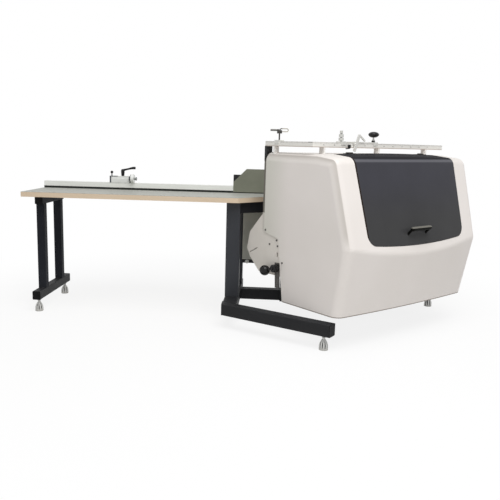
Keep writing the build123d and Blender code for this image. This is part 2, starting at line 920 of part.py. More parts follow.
def hinge_moving():
    """Flap leaves that turn on the pins, shaped to the flap."""
    bore = hinge_pin_rod(hinge_pin + 2 * running_clearance, hinge_leaf_length + hinge_bore_extra)
    leaf = hinge_leaf(1) - bore
    return [Pos(across, 0, 0) * leaf - hood_outside for across in hinge_places]


# Frame of the head

def cheek_plate(outline):
    """Upright plate along the side of the head, against the inside of the left hood wall."""
    corners = [(-forward, height) for forward, height in outline]
    plate = extrude(Plane.YZ * make_face(Polyline(corners, close=True)), cheek_thickness)
    return Pos(cheek_outer, 0, 0) * plate


def cheek_lower():
    """Outline shared by both cheeks, from the rear bottom corner round to the upper front."""
    return [
        (cheek_step_forward, cheek_bottom),
        (cheek_step_forward, bed_bottom),
        (cheek_front, bed_bottom),
        (cheek_front, cheek_top - cheek_slope_drop),
        (cheek_front - cheek_slope_run, cheek_top),
        (wall_forward, cheek_top),
    ]


def left_cheek():
    """Cheek with the rounded fin behind the hood, a slot and an oval hole."""
    fin = [
        (wall_forward, fin_root_height),
        fin_shoulder,
        fin_upper,
        (cheek_rear, fin_tip_height),
        fin_lower,
        (fin_foot, cheek_bottom),
    ]
    plate = cheek_plate(cheek_lower() + fin)
    slot = extrude(Plane.YZ * SlotOverall(slot_length, slot_width), hood_width, both=True)
    oval = SlotOverall(cheek_hole_height, cheek_hole_width, rotation=90)
    oval = extrude(Plane.YZ * oval, hood_width, both=True)
    slot_place = head_at(slot_forward, 0, slot_height) * Rot(slot_lean, 0, 0)
    return plate - slot_place * slot - head_at(cheek_hole_forward, 0, cheek_hole_middle) * oval


def right_cheek():
    plate = cheek_plate(cheek_lower() + [(wall_forward, cheek_bottom)])
    return Pos(hood_width - cheek_outer - cheek_inner, 0, 0) * plate


def bed_plate():
    inside = (cheek_inner, hood_width - cheek_inner)
    return head_block((cheek_step_forward, bed_front), inside, (bed_bottom, bed_top))


def rear_wall():
    """Wall with the work opening and the dust outlet, slotted for the right cheek."""
    wall = head_block((wall_forward, wall_front), (cheek_inner, roof_width), (cheek_bottom, wall_top))
    deep = (wall_forward - 1, wall_front + 1)
    cheek_slot = head_block(deep, (hood_width - cheek_inner, hood_width - cheek_outer), (0, cheek_top))
    opening = head_block(deep, (work_left, work_right), (work_bottom, work_top))
    outlet = head_at(0, spigot_across, spigot_height) * rod_forward(spigot_diameter - 2 * spigot_wall, *deep)
    return (wall & hood_room) - cheek_slot - opening - outlet


def rear_outline(inset):
    """Rear end of the hood, drawn smaller by an inset and run past the bottom of the seal."""
    low = notch_rear_height + seal_depth - overrun
    high = roof_rear_height - inset
    corners = [
        (inset, low),
        (right_wall_across(low, inset), low),
        (right_wall_across(high, inset), high),
        (inset, high),
    ]
    outline = make_face(Polyline(corners, close=True))
    return fillet(outline.vertices().group_by(Axis.Y)[-1], hood_edge - inset)


def rear_seal():
    """Dark edging round the open rear of the hood: two uprights joined over the top."""
    edging = extrude(Plane.XZ * (rear_outline(0) - rear_outline(hood_wall)), -seal_depth)
    return edging - block_between((-big, -big, 0), (big, big, notch_rear_height + seal_depth))


def swivel_sleeve():
    """Sleeve on the column with two webs to a flange on the rear wall."""
    low, high = sleeve_bottom, sleeve_top
    sleeve = head_at(-pivot_behind, pivot_across, 0) * rod_up(sleeve_diameter, low, high)
    bore = rod_up(column_diameter + 2 * running_clearance, low - 1, high + 1)
    bore = head_at(-pivot_behind, pivot_across, 0) * bore
    flange_low = high - flange_height
    flange_across = (pivot_across - flange_width / 2, pivot_across + flange_width / 2)
    flange = head_block((wall_forward - flange_thickness, wall_forward), flange_across, (flange_low, high))
    web_reach = (-pivot_behind, wall_forward - flange_thickness)
    weldment = sleeve + flange
    for side in (-1, 1):
        middle = pivot_across + side * web_spacing / 2
        web_across = (middle - web_thickness / 2, middle + web_thickness / 2)
        weldment += head_block(web_reach, web_across, (flange_low, high))
    return weldment - bore


def dust_spigot():
    """Round outlet with a flange on the rear wall."""
    tube = rod_forward(spigot_diameter, wall_forward - spigot_length, wall_forward)
    flange_rear = wall_forward - spigot_flange_thickness
    flange = rod_forward(spigot_diameter + 2 * spigot_flange, flange_rear, wall_forward)
    bore = rod_forward(spigot_diameter - 2 * spigot_wall, wall_forward - spigot_length - 1, wall_forward + 1)
    return head_at(0, spigot_across, spigot_height) * (tube + flange - bore)


def panel_screws():
    """Screw heads on the cheek and on the edge of the hood wall."""
    head = rod_across(screw_diameter, -screw_head, 0)
    heads = [head_at(forward, cheek_outer, height) * head for forward, height in cheek_screws]
    heads += [head_at(forward, 0, height) * head for forward, height in hood_screws]
    return heads


# Clamp lever on the cheek

def clamp_plate():
    """Mounting plate of the clamp lever, hanging below the cheek."""
    low = clamp_plate_bottom - clamp_height
    high = clamp_plate_top - clamp_height
    half = clamp_plate_width / 2
    plate = block_between((-cheek_outer, -half, low), (0, half, high))
    lean = Rot(clamp_plate_lean, 0, 0)
    axle = rod_across(clamp_arm_diameter, -cheek_outer - clamp_hub_length / 2, -cheek_outer)
    return head_at(clamp_forward, cheek_outer, clamp_height) * (lean * plate + axle)


def clamp_lever():
    """Hub with a bore for the axle, an arm, a ball grip and a round button."""
    outer = -slide_gap
    hub = rod_across(clamp_hub_diameter, outer - clamp_hub_length, outer)
    hub = chamfer(hub.edges().filter_by(GeomType.CIRCLE), clamp_hub_edge)
    depth = clamp_hub_length / 2 + slide_gap
    bore = rod_across(clamp_arm_diameter + 2 * running_clearance, outer - depth, outer + 1)
    drop = clamp_ball_height - clamp_height
    ball_middle = Vector(-clamp_ball_out, clamp_forward - clamp_ball_forward, drop)
    root = Vector(-clamp_ball_out, 0, 0)
    arm_plane = Plane(origin=root, z_dir=ball_middle - root)
    arm = extrude(arm_plane * Circle(clamp_arm_diameter / 2), (ball_middle - root).length)
    ball = Pos(*ball_middle) * Sphere(clamp_ball_diameter / 2)
    hub_end = outer - clamp_hub_length
    button = rod_across(clamp_button_diameter, hub_end - clamp_button_rise, hub_end)
    return head_at(clamp_forward, 0, clamp_height) * (hub + arm + ball + button - bore)


# Stop rails on the roof

def side_rail():
    across = (side_rail_across, side_rail_across + rail_section)
    rear = -seal_depth - corner_block_depth
    return head_block((rear, front_rail_forward), across, (rails_bottom, rails_top))


def front_rail():
    across = (side_rail_across, hood_width + front_rail_overhang)
    forward = (front_rail_forward, front_rail_forward + rail_section)
    return head_block(forward, across, (rails_bottom, rails_top))


def rail_supports():
    """Feet of the rails on the roof and the block at the rear corner."""
    heights = (crease_height, rails_bottom)
    side_across = (side_rail_across, side_rail_across + rail_section)
    front_forward = (front_rail_forward, front_rail_forward + rail_section)
    feet = [head_block((overrun, overrun + support_length), side_across, heights) - hood_outside]
    for share in support_shares:
        middle = hood_width * share
        across = (middle - support_length / 2, middle + support_length / 2)
        feet.append(head_block(front_forward, across, heights) - hood_outside)
    corner_middle = side_rail_across + rail_section / 2
    corner_across = (corner_middle - corner_block_width / 2, corner_middle + corner_block_width / 2)
    corner_forward = (-seal_depth - corner_block_depth, -seal_depth)
    corner_heights = (rails_bottom - corner_block_height, rails_bottom)
    feet.append(head_block(corner_forward, corner_across, corner_heights))
    return feet


def straddling_block(length):
    """Block that straddles a rail along +X, with the rail axis at the origin and its top at blocks_top."""
    half_length = length / 2
    half = rail_section / 2 + slide_gap
    skirt = rails_top - block_skirt
    block = block_between(
        (-half_length, -half - block_cheek, skirt),
        (half_length, half + block_cheek, blocks_top),
    )
    groove = block_between(
        (-half_length - 1, -half, skirt - 1),
        (half_length + 1, half, rails_top + slide_gap),
    )
    return block - groove


def tee_block():
    place = head_at(tee_forward, side_rail_across + rail_section / 2, 0)
    return place * Rot(0, 0, 90) * straddling_block(tee_block_length)


def tee_handle():
    """Clamp screw with a T-shaped handle: one plain wing and one looped wing."""
    low = blocks_top + slide_gap
    high = low + tee_rise
    half = tee_length / 2
    stem = rod_up(tee_stem, low, high)
    hub = rod_up(tee_hub, high - tee_hub_height, high)
    wing = Pos(0, 0, high) * rod_across(tee_bar, -half, 0)
    ring = SlotOverall(half, 2 * tee_bar) - SlotOverall(half - tee_bar, tee_bar)
    loop = Pos(half / 2, tee_bar / 4, high) * extrude(Plane.XZ * ring, tee_bar / 2)
    handle = stem + hub + wing + loop
    place = head_at(tee_forward, side_rail_across + rail_section / 2, 0)
    return place * Rot(0, 0, -tee_turn) * handle


front_rail_axis = front_rail_forward + rail_section / 2
block_half_depth = rail_section / 2 + slide_gap + block_cheek


def width_stop():
    """Three straddling blocks joined by a pair of rods, with a pin for the prop on the middle one."""
    block = straddling_block(stop_block_length)
    frame = Pos(turret_across, 0, 0) * block
    frame += [Pos(across, 0, 0) * block for across in (prop_across, knob_across)]
    for side in (-1, 1):
        rod = rod_across(stop_rod_diameter, turret_across, knob_across)
        frame += Pos(0, side * stop_rod_spacing / 2, rails_top + slide_gap + stop_rod_rise) * rod
    pin = rod_forward(prop_pin, block_half_depth - block_cheek, block_half_depth + prop_thickness)
    frame += Pos(prop_across, 0, prop_pin_height) * pin
    return head_at(front_rail_axis, 0, 0) * frame


def stop_prop():
    """Two-armed prop that turns on the pin of the width stop."""
    rear = block_half_depth + slide_gap
    front = rear + prop_thickness
    half = prop_width / 2
    arm = head_block((rear, front), (-half, half), (-prop_drop, prop_rise))
    strut = Pos(0, 0, prop_rise) * Rot(0, prop_strut_lean - prop_lean, 0) * head_block(
        (rear, front), (-half / 2, half / 2), (0, prop_strut_length)
    )
    hub = rod_forward(prop_hub, rear, front)
    bore = rod_forward(prop_pin + 2 * running_clearance, rear - 1, front + 1)
    prop = Rot(0, prop_lean, 0) * (arm + strut) + hub - bore
    return head_at(front_rail_axis, prop_across, prop_pin_height) * prop


def stop_turret():
    """Turned turret of round tiers on thinner necks, standing on the left block of the width stop."""
    low = blocks_top + slide_gap
    turret = []
    for diameter in turret_tiers:
        turret.append(rod_up(turret_neck, low, low + turret_neck_height))
        low += turret_neck_height
        turret.append(rod_up(diameter, low, low + turret_tier_height))
        low += turret_tier_height
    return head_at(front_rail_axis, turret_across, 0) * (turret[0] + turret[1:])


def stop_knob():
    """Mushroom knob on its stem, turned in one piece."""
    half = knob_diameter / 2
    stem = knob_stem / 2
    top = knob_stem_height + knob_cap_height
    rim = top - knob_dome
    dome_radius = (half**2 + knob_dome**2) / (2 * knob_dome)
    sweep = math.asin(half / dome_radius) / 2
    shoulder = (dome_radius * math.sin(sweep), top - dome_radius * (1 - math.cos(sweep)))
    outline = [
        Polyline(
            (0, 0),
            (knob_foot / 2, 0),
            (knob_foot / 2, knob_foot_height),
            (stem, knob_foot_height),
            (stem, knob_stem_height),
            (knob_throat / 2, knob_stem_height),
            (half, rim),
        ),
        ThreePointArc((half, rim), shoulder, (0, top)),
        Line((0, top), (0, 0)),
    ]
    knob = revolve(Plane.XZ * make_face(outline), Axis.Z)
    return head_at(front_rail_axis, knob_across, blocks_top + slide_gap) * knob


# Cutting unit

def cross_rods():
    rod = rod_across(rod_diameter, cheek_inner, hood_width - cheek_inner)
    return [head_at(forward, 0, rod_height) * rod for forward in (rod_rear, rod_front)]


rod_middle = (rod_rear + rod_front) / 2


def cross_screw():
    end_gap = slide_gap
    screw = rod_across(cross_screw_diameter, cheek_inner + end_gap, hood_width - cheek_inner - end_gap)
    return head_at(rod_middle, 0, rod_height) * screw


def saddle():
    """Block that runs on the cross rods."""
    across = (saddle_across - saddle_width / 2, saddle_across + saddle_width / 2)
    block = head_block((saddle_rear, saddle_rear + saddle_length), across, (saddle_bottom, saddle_top))
    bore = rod_across(rod_diameter + 2 * running_clearance, across[0] - 1, across[1] + 1)
    nut = rod_across(cross_screw_diameter + 2 * running_clearance, across[0] - 1, across[1] + 1)
    bores = [head_at(forward, 0, rod_height) * bore for forward in (rod_rear, rod_front)]
    return block - bores - head_at(rod_middle, 0, rod_height) * nut


def lift_frame():
    """Two columns on the saddle with the bridge that joins their tops."""
    column = rod_up(lift_column_diameter, saddle_top, bridge_bottom)
    half = lift_column_spacing / 2
    frame = head_block(
        (carrier_rear, lift_column_forward + lift_column_diameter),
        (saddle_across - carrier_width / 2, saddle_across + carrier_width / 2),
        (bridge_bottom, bridge_bottom + bridge_thickness),
    )
    for side in (-1, 1):
        frame += head_at(lift_column_forward, saddle_across + side * half, 0) * column
    return frame


lift_screw_place = head_at(lift_screw_forward, saddle_across + lift_screw_side, 0)


def lift_screw():
    return lift_screw_place * rod_up(lift_screw_diameter, saddle_top + slide_gap, bridge_bottom - slide_gap)


def motor_carrier():
    """Block that slides on the lift columns and holds the motor."""
    low = axis_height - carrier_height / 2
    high = axis_height + carrier_height / 2
    across = (saddle_across - carrier_width / 2, saddle_across + carrier_width / 2)
    block = head_block((carrier_rear, carrier_rear + carrier_length), across, (low, high))
    column_bore = rod_up(lift_column_diameter + 2 * running_clearance, low - 1, high + 1)
    for side in (-1, 1):
        block -= head_at(lift_column_forward, saddle_across + side * lift_column_spacing / 2, 0) * column_bore
    block -= lift_screw_place * rod_up(lift_screw_diameter + 2 * running_clearance, low - 1, high + 1)
    seat = rod_forward(motor_diameter - 2 * fin_depth, carrier_rear - 1, carrier_rear + carrier_length + 1)
    return block - head_at(0, saddle_across, axis_height) * seat


def motor_body():
    """Motor with a smooth waist in the carrier, cooling ribs in front and a bore for the spindle."""
    waist = motor_diameter - 2 * fin_depth
    body = rod_forward(waist, motor_rear, motor_front)
    front_start = carrier_rear + carrier_length
    pitch = (motor_front - front_start) / fin_count
    for i in range(fin_count):
        start = front_start + pitch * i
        body += rod_forward(motor_diameter, start, start + fin_width)
    bore = rod_forward(spindle_diameter + 2 * running_clearance, motor_rear - 1, motor_rear + spindle_depth + 1)
    return head_at(0, saddle_across, axis_height) * (body - bore)


def spindle():
    """Spindle with the shoulder that the cutter head sits against."""
    shoulder = cutter_rear + cutter_width
    bar = rod_forward(spindle_diameter, spindle_rear, motor_rear + spindle_depth)
    flange = rod_forward(spindle_flange, shoulder, shoulder + spindle_flange_thickness)
    return head_at(0, saddle_across, axis_height) * (bar + flange)


def cutter_head():
    """Cutter block with its blades standing out of slots."""
    ends = (cutter_rear, cutter_rear + cutter_width)
    block = rod_forward(cutter_diameter, *ends)
    half = cutter_diameter / 2
    gullet = head_block(ends, (0, blade_thickness * 2), (half - blade_depth, half + 1))
    blade = head_block(ends, (0, blade_thickness), (half - blade_depth, half + blade_standout))
    for i in range(blade_count):
        turn = Rot(0, 360 / blade_count * i, 0)
        block = block - turn * gullet + turn * blade
    bore = rod_forward(spindle_diameter + 2 * running_clearance, ends[0] - 1, ends[1] + 1)
    return head_at(0, saddle_across, axis_height) * (block - bore)


# Nodes: fixed frame, stop on the fence, head

feet = foot_places()
frame_nodes = {
    "table_board": table_slab(table_underside, table_height - laminate_thickness),
    "table_laminate": table_slab(table_height - laminate_thickness, table_height),
    "fence_profile": fence_profile(),
    "guard_plate": guard_plate(),
    "guard_bracket": guard_bracket(),
    "left_base_bar": left_base_bar(),
    "left_front_upright": left_upright(left_front_upright_y),
    "left_rear_upright": left_upright(left_rear_upright_y),
    "left_top_bar": left_top_bar(),
    "right_base_bar": right_base_bar(),
    "right_front_upright": right_upright(right_front_upright_y),
    "right_rear_upright": right_upright(right_rear_upright_y),
    "front_leg_bar": front_leg_bar(),
    "rear_leg_bar": rear_leg_bar(),
    "far_leg_bar": far_leg_bar(),
    "table_rail": table_rail(),
    "tube_caps": group(tube_caps()),
    "bell_feet": group(place * bell_foot() for place in feet),
    "foot_studs": group(place * foot_stud() for place in feet),
    "swivel_column": swivel_column(),
    "thrust_ring": thrust_ring(),
    "control_cabinet": control_cabinet(),
    "cabinet_bracket": cabinet_bracket(),
    "stop_carriage": stop_carriage(),
    "stop_lever": stop_lever(),
    "stop_pin": stop_pin(),
    "stop_disc": stop_disc(),
}
head_nodes = {
    "swivel_sleeve": swivel_sleeve(),
    "rear_wall": rear_wall(),
    "left_cheek": left_cheek(),
    "right_cheek": right_cheek(),
    "bed_plate": bed_plate(),
    "rear_seal": rear_seal(),
    "dust_spigot": dust_spigot(),
    "hood_shell": hood_shell(),
    "panel_screws": group(panel_screws()),
    "clamp_plate": clamp_plate(),
    "clamp_lever": clamp_lever(),
    "side_rail": side_rail(),
    "front_rail": front_rail(),
    "rail_supports": group(rail_supports()),
    "tee_block": tee_block(),
    "tee_handle": tee_handle(),
    "width_stop": width_stop(),
    "stop_prop": stop_prop(),
    "stop_turret": stop_turret(),
    "stop_knob": stop_knob(),
    "flap_panel": flap_panel(),
    "flap_handle": flap_handle(),
    "hinge_fixed": group(hinge_fixed()),
    "hinge_moving": group(hinge_moving()),
    "cross_rods": group(cross_rods()),
    "cross_screw": cross_screw(),
    "saddle": saddle(),
    "lift_frame": lift_frame(),
    "lift_screw": lift_screw(),
    "motor_carrier": motor_carrier(),
    "motor_body": motor_body(),
    "spindle": spindle(),
    "cutter_head": cutter_head(),
}

# Export with the origin on the floor in the middle of the footprint

nodes = dict(frame_nodes)
for name, shape in head_nodes.items():
    nodes[name] = head_place * shape
boxes = [shape.bounding_box() for shape in nodes.values()]
middle_x = (min(box.min.X for box in boxes) + max(box.max.X for box in boxes)) / 2
middle_y = (min(box.min.Y for box in boxes) + max(box.max.Y for box in boxes)) / 2
to_origin = Pos(-middle_x, -middle_y, 0)
os.makedirs("parts", exist_ok=True)
for name, shape in nodes.items():
    export_step(to_origin * shape, f"parts/{name}.step")
print(f"{len(nodes)} nodes, layout corner at {-middle_x:.3f}, {-middle_y:.3f}")
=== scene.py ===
import math

import bpy
import numpy as np
from mathutils import Matrix, Vector


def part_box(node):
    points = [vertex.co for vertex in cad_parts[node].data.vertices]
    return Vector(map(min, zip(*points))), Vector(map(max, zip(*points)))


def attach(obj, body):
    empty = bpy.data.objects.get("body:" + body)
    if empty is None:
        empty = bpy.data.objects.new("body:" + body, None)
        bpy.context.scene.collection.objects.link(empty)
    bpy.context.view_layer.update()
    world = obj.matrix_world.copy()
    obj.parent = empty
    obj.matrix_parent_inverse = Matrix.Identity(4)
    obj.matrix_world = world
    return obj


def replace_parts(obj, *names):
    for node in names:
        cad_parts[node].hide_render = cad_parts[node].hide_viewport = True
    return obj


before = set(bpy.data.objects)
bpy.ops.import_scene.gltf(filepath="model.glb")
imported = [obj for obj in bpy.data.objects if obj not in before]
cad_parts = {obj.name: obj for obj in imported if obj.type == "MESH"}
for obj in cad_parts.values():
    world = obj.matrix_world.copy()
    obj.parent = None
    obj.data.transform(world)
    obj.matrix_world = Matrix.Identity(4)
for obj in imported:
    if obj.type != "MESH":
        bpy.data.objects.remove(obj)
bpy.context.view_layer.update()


# Levelling feet. Ribbed bell feet die-cast in grey metal stand on the floor, and each is screwed to a
# turned steel stud that a lock nut holds under the frame.

foot_count = 5
foot_ribs = 10
foot_neck = 0.33        # of the bell's widest radius
foot_slot = 0.3         # depth of the slots between the ribs, of the radius
skirt_top = 0.3         # up to which the bell's skirt is upright, of its height
neck_foot = 0.9         # from which the bell is a slim neck, of its height
slot_foot = 0.06        # lower end of the slots, of the bell's height
slot_top = 0.86         # upper end of the slots
slot_edge = 0.25        # cosine of the angle at which a slot begins, where a rib and its slot are one turn
slot_slope = 2.0        # steepness of a slot's sides
foot_dust = 0.03        # height up to which dust lies on the feet
stud_pitch = 0.002      # of the stud's thread
rib_points = 16         # points round each rib
ring_points = 48        # points round a turned piece
sharp_edge = math.radians(35.0)     # from this angle on, two faces meet in a sharp edge
upright = np.array((0.0, 0.0, 1.0))


class Wire:
    """One output of a node. Arithmetic on it adds Math nodes to the same material."""

    def __init__(self, tree, socket=None):
        self.tree = tree
        self.socket = socket

    def node(self, kind, settings=None, inputs=None, output=0):
        """Add any node: its settings and ramp stops first, then the values or links of its sockets."""
        made = self.tree.nodes.new(kind)
        for name, value in (settings or {}).items():
            if name == "stops":
                elements = made.color_ramp.elements
                while len(elements) < len(value):
                    elements.new(1.0)
                for element, (position, colour) in zip(elements, value):
                    element.position = position
                    element.color = colour
            else:
                setattr(made, name, value)
        for name, value in (inputs or {}).items():
            if isinstance(value, Wire):
                self.tree.links.new(value.socket, made.inputs[name])
            else:
                made.inputs[name].default_value = value
        return Wire(self.tree, made.outputs[output] if made.outputs else None)

    def math(self, operation, first, second=0.0, third=0.0):
        """A Math node on wires or plain numbers."""
        return self.node("ShaderNodeMath", {"operation": operation}, {0: first, 1: second, 2: third})

    def __add__(self, other):
        return self.math("ADD", self, other)

    def __sub__(self, other):
        return self.math("SUBTRACT", self, other)

    def __mul__(self, other):
        return self.math("MULTIPLY", self, other)

    def __truediv__(self, other):
        return self.math("DIVIDE", self, other)

    def __radd__(self, other):
        return self.math("ADD", other, self)

    def __rsub__(self, other):
        return self.math("SUBTRACT", other, self)

    def __rmul__(self, other):
        return self.math("MULTIPLY", other, self)

    def __rtruediv__(self, other):
        return self.math("DIVIDE", other, self)


def tone(red, green, blue):
    """Linear colour of a screen colour given in steps of 255, by the screen's standard curve."""
    steps = np.array([red, green, blue]) / 255
    linear = np.where(steps <= 0.04045, steps / 12.92, ((steps + 0.055) / 1.055) ** 2.4)
    return (*linear, 1.0)


def new_finish(name, **constants):
    """A material with one Principled shader: the material, its shader and its Object coordinates."""
    finish = bpy.data.materials.new(name)
    finish.use_nodes = True
    shader = finish.node_tree.nodes["Principled BSDF"]
    for socket, value in constants.items():
        shader.inputs[socket.replace("_", " ").title().replace("Ior", "IOR")].default_value = value
    place = Wire(finish.node_tree).node("ShaderNodeTexCoord", output="Object")
    return finish, shader, place


def feed(shader, **wires):
    """Link what changes over the surface to the shader's sockets."""
    for socket, wire in wires.items():
        wire.tree.links.new(wire.socket, shader.inputs[socket.replace("_", " ").title()])


def stretched(place, x, y, z):
    """Coordinates multiplied along each axis, so that a pattern is drawn out or packed."""
    return place.node("ShaderNodeMapping", {"vector_type": "POINT"}, {"Vector": place, "Scale": (x, y, z)})


def part_of(place, axis):
    """One coordinate, named X, Y or Z."""
    return place.node("ShaderNodeSeparateXYZ", None, {"Vector": place}, axis)


def distance_along(place, direction):
    """How far a point lies along a direction, counted from the origin."""
    line = {0: place, 1: tuple(direction)}
    return place.node("ShaderNodeVectorMath", {"operation": "DOT_PRODUCT"}, line, "Value")


def noise(place, scale, detail=2.0, roughness=0.5):
    """Cloudy noise from 0 to 1, with so many waves to the metre."""
    inputs = {"Vector": place, "Scale": scale, "Detail": detail, "Roughness": roughness}
    return place.node("ShaderNodeTexNoise", None, inputs, "Fac")


def shades(factor, *stops):
    """Colour ramp over a factor."""
    return factor.node("ShaderNodeValToRGB", {"stops": stops}, {"Fac": factor}, "Color")


def two_shades(factor, low, high):
    """Colour ramp between two shades, over the range in which most of a noise lies."""
    return shades(factor, (0.3, low), (0.7, high))


def step(value, start, end):
    """Soft step from 0 at start to 1 at end."""
    inputs = {"Value": value, "From Min": start, "From Max": end, "To Min": 0.0, "To Max": 1.0}
    return value.node("ShaderNodeMapRange", {"interpolation_type": "SMOOTHSTEP"}, inputs)


def painted(mask, below, above):
    """Colour that turns from one to the other where the mask is 1. A Mix node has several inputs of the same
    name, of which 6 and 7 take colours, and its output 2 gives one."""
    return mask.node("ShaderNodeMix", {"data_type": "RGBA"}, {0: mask, 6: below, 7: above}, 2)


def raised(height, depth, strength=1.0):
    """Normal bumped by a height of 0 to 1 that stands for a depth in metres."""
    return height.node("ShaderNodeBump", None, {"Height": height, "Distance": depth, "Strength": strength})


def dress(finish, *nodes):
    """Give a finish to CAD nodes."""
    for node in nodes:
        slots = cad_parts[node].data.materials
        slots.clear()
        slots.append(finish)


def cast_grey():
    """Grey die casting: cloudy sheen, grainy skin, painted shade in the slots and dust near the floor."""
    finish, shader, place = new_finish("cast_grey", metallic=0.6, specular_ior_level=0.3)
    clouds = noise(place, 60.0, 4.0)
    grain = noise(place, 900.0, 2.0)
    dust = 1.0 - step(part_of(place, "Z"), 0.0, foot_dust)
    mixed = clouds * 0.7 + grain * 0.3
    metal = two_shades(mixed, tone(192, 192, 190), tone(222, 222, 219))
    # painted shade in the slots between the ribs, from the slot depth stored on the mesh
    slot = place.node("ShaderNodeAttribute", {"attribute_name": "slot"}, output="Fac")
    dusted_and_shaded = painted(dust * clouds, metal, tone(170, 167, 160))
    feed(
        shader,
        base_color=painted(slot, dusted_and_shaded, tone(36, 36, 38)),
        roughness=0.36 + 0.25 * clouds + 0.2 * dust,
        normal=raised(grain, 0.0002, 0.6),
    )
    return finish


def turned_steel(name, thread_pitch=None, thread_line=upright):
    """Bright turned steel with a clouded sheen and tool marks. A thread is waves along the screw's line."""
    finish, shader, place = new_finish(name, metallic=1.0)
    marks = noise(stretched(place, 30.0, 30.0, 700.0), 3.0, 3.0)
    relief = raised(marks, 0.00008, 0.4)
    if thread_pitch:
        along = distance_along(place, thread_line)
        wave = along.math("SINE", along * (2 * math.pi / thread_pitch))
        relief = raised(wave * 0.5 + 0.5, thread_pitch / 2, 0.8)
    feed(
        shader,
        base_color=shades(marks, (0.2, tone(150, 150, 148)), (0.8, tone(192, 192, 189))),
        roughness=0.24 + 0.2 * marks,
        normal=relief,
    )
    return finish


def points_in(mesh):
    """Corner points of a mesh, one row each."""
    points = np.empty(3 * len(mesh.vertices))
    mesh.vertices.foreach_get("co", points)
    return points.reshape(-1, 3)


def points_of(node):
    """Corner points of a CAD node, one row each."""
    return points_in(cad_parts[node].data)


def rings_about(middle, axis, radius, height, columns=ring_points):
    """Rings round an axis: each row is a circle of its radius, moved along the axis by its height. A radius
    that also differs round the ring makes it lobed or angular."""
    slanted = (0.0, 0.6, 0.8)   # along none of the axes in use
    beside = np.cross(axis, slanted)
    beside = beside / np.linalg.norm(beside)
    behind = np.cross(axis, beside)
    turn = np.linspace(0.0, 2 * np.pi, columns, endpoint=False)[None, :, None]
    spread = np.broadcast_to(radius, (len(height), columns))[..., None]
    around = np.cos(turn) * beside + np.sin(turn) * behind
    return np.array(middle) + spread * around + np.reshape(height, (-1, 1, 1)) * np.array(axis)


def new_piece(name, points, faces, finish, body):
    """A piece from points and faces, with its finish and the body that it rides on."""
    mesh = bpy.data.meshes.new(name)
    mesh.from_pydata(points.tolist(), [], faces)
    mesh.materials.append(finish)
    made = bpy.data.objects.new(name, mesh)
    bpy.context.scene.collection.objects.link(made)
    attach(made, body)
    return made


def add_piece(name, grids, finish, body, looped=False):
    """A piece of closed grids of points: each grid is a ring carried along its rows, with both ends closed.
    In a looped grid the last row runs on into the first instead."""
    points = np.concatenate([grid.reshape(-1, 3) for grid in grids])
    faces = []
    start = 0
    for grid in grids:
        rings = start + np.arange(grid.shape[0] * grid.shape[1]).reshape(grid.shape[:2])
        beside = np.roll(rings, -1, axis=1)
        quads = np.stack([rings, beside, np.roll(beside, -1, axis=0), np.roll(rings, -1, axis=0)], -1)
        if looped:
            faces += quads.reshape(-1, 4).tolist()
        else:
            faces += quads[:-1].reshape(-1, 4).tolist()
            faces += [rings[0, ::-1].tolist(), rings[-1].tolist()]
        start += rings.size
    made = new_piece(name, points, faces, finish, body)
    made.data.shade_smooth()
    made.data.set_sharp_from_angle(angle=sharp_edge)
    return made


def ribbed_bell(low, high):
    """Bell turned about Z between two corners: an upright skirt that draws in along a quarter wave to a slim
    neck. Narrow slots between the ribs cut into it, deepest half way up. The second grid that it returns says
    how deep in a slot each point lies, from 0 to 1."""
    columns = foot_ribs * rib_points
    lift = np.linspace(0.0, 1.0, 25)[:, None]
    turn = np.linspace(0.0, 2 * np.pi, columns, endpoint=False)[None, :]
    drawn = np.clip((lift - skirt_top) / (neck_foot - skirt_top), 0.0, 1.0)
    outline = foot_neck + (1 - foot_neck) * np.cos(drawn * np.pi / 2)
    slot = np.clip(slot_slope * (np.cos(foot_ribs * turn) - slot_edge), 0.0, 1.0)
    sunk = np.sin(np.pi * np.clip((lift - slot_foot) / (slot_top - slot_foot), 0.0, 1.0))
    depth = slot * sunk
    radius = (high - low)[0] / 2 * outline * (1 - foot_slot * depth)
    middle = (*((low + high) / 2)[:2], low[2])
    return rings_about(middle, upright, radius, lift * (high - low)[2], columns), depth


feet = points_of("bell_feet").reshape(foot_count, -1, 3)
bells, slot_shade_depths = zip(*[ribbed_bell(foot.min(axis=0), foot.max(axis=0)) for foot in feet])
bell_piece = add_piece("ribbed_bells", bells, cast_grey(), "frame")
# the depth in a slot is stored on the mesh for the painted shade in the slots
slots = bell_piece.data.attributes.new("slot", "FLOAT", "POINT")
slots.data.foreach_set("value", np.concatenate(slot_shade_depths).ravel())
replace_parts(bell_piece, "bell_feet")
dress(turned_steel("stud_steel", stud_pitch), "foot_studs")


# Stands. Square steel tubes are welded into a left and a right stand and powder coated in anthracite, and
# moulded black caps close their ends. The weld beads show where the uprights stand on the bars.

weld_size = 0.0032      # radius of the bead
weld_pitch = 0.0045     # from one ripple to the next
weld_ripple = 0.14      # how far a ripple swells, of the radius
weld_end = 0.33         # radius at the ends, of the full one
weld_inset = 4 * weld_size      # from the sides of the tube
weld_points = 12        # points round the bead
ripple_rings = 6        # rings of points to each ripple
dust_low = 0.06         # height up to which the dust on the stands is full
dust_high = 0.3         # height at which it ends


def anthracite_coat(name, gloss, low, high):
    """Satin powder coat: fine orange peel, faint cloudiness between two shades, and dull dust low down."""
    finish, shader, place = new_finish(name, specular_ior_level=gloss)
    peel = noise(place, 700.0, 2.0)
    clouds = noise(place, 5.0, 3.0)
    near_floor = 1.0 - step(part_of(place, "Z"), dust_low, dust_high)
    scuffs = noise(stretched(place, 30.0, 30.0, 9.0), 4.0, 6.0, 0.7)
    dust = near_floor * scuffs
    coat = two_shades(clouds, low, high)
    feed(
        shader,
        base_color=painted(dust * 0.15, coat, tone(92, 90, 86)),
        roughness=0.42 + 0.16 * clouds + 0.2 * dust,
        normal=raised(peel, 0.00025, 0.35),
    )
    return finish


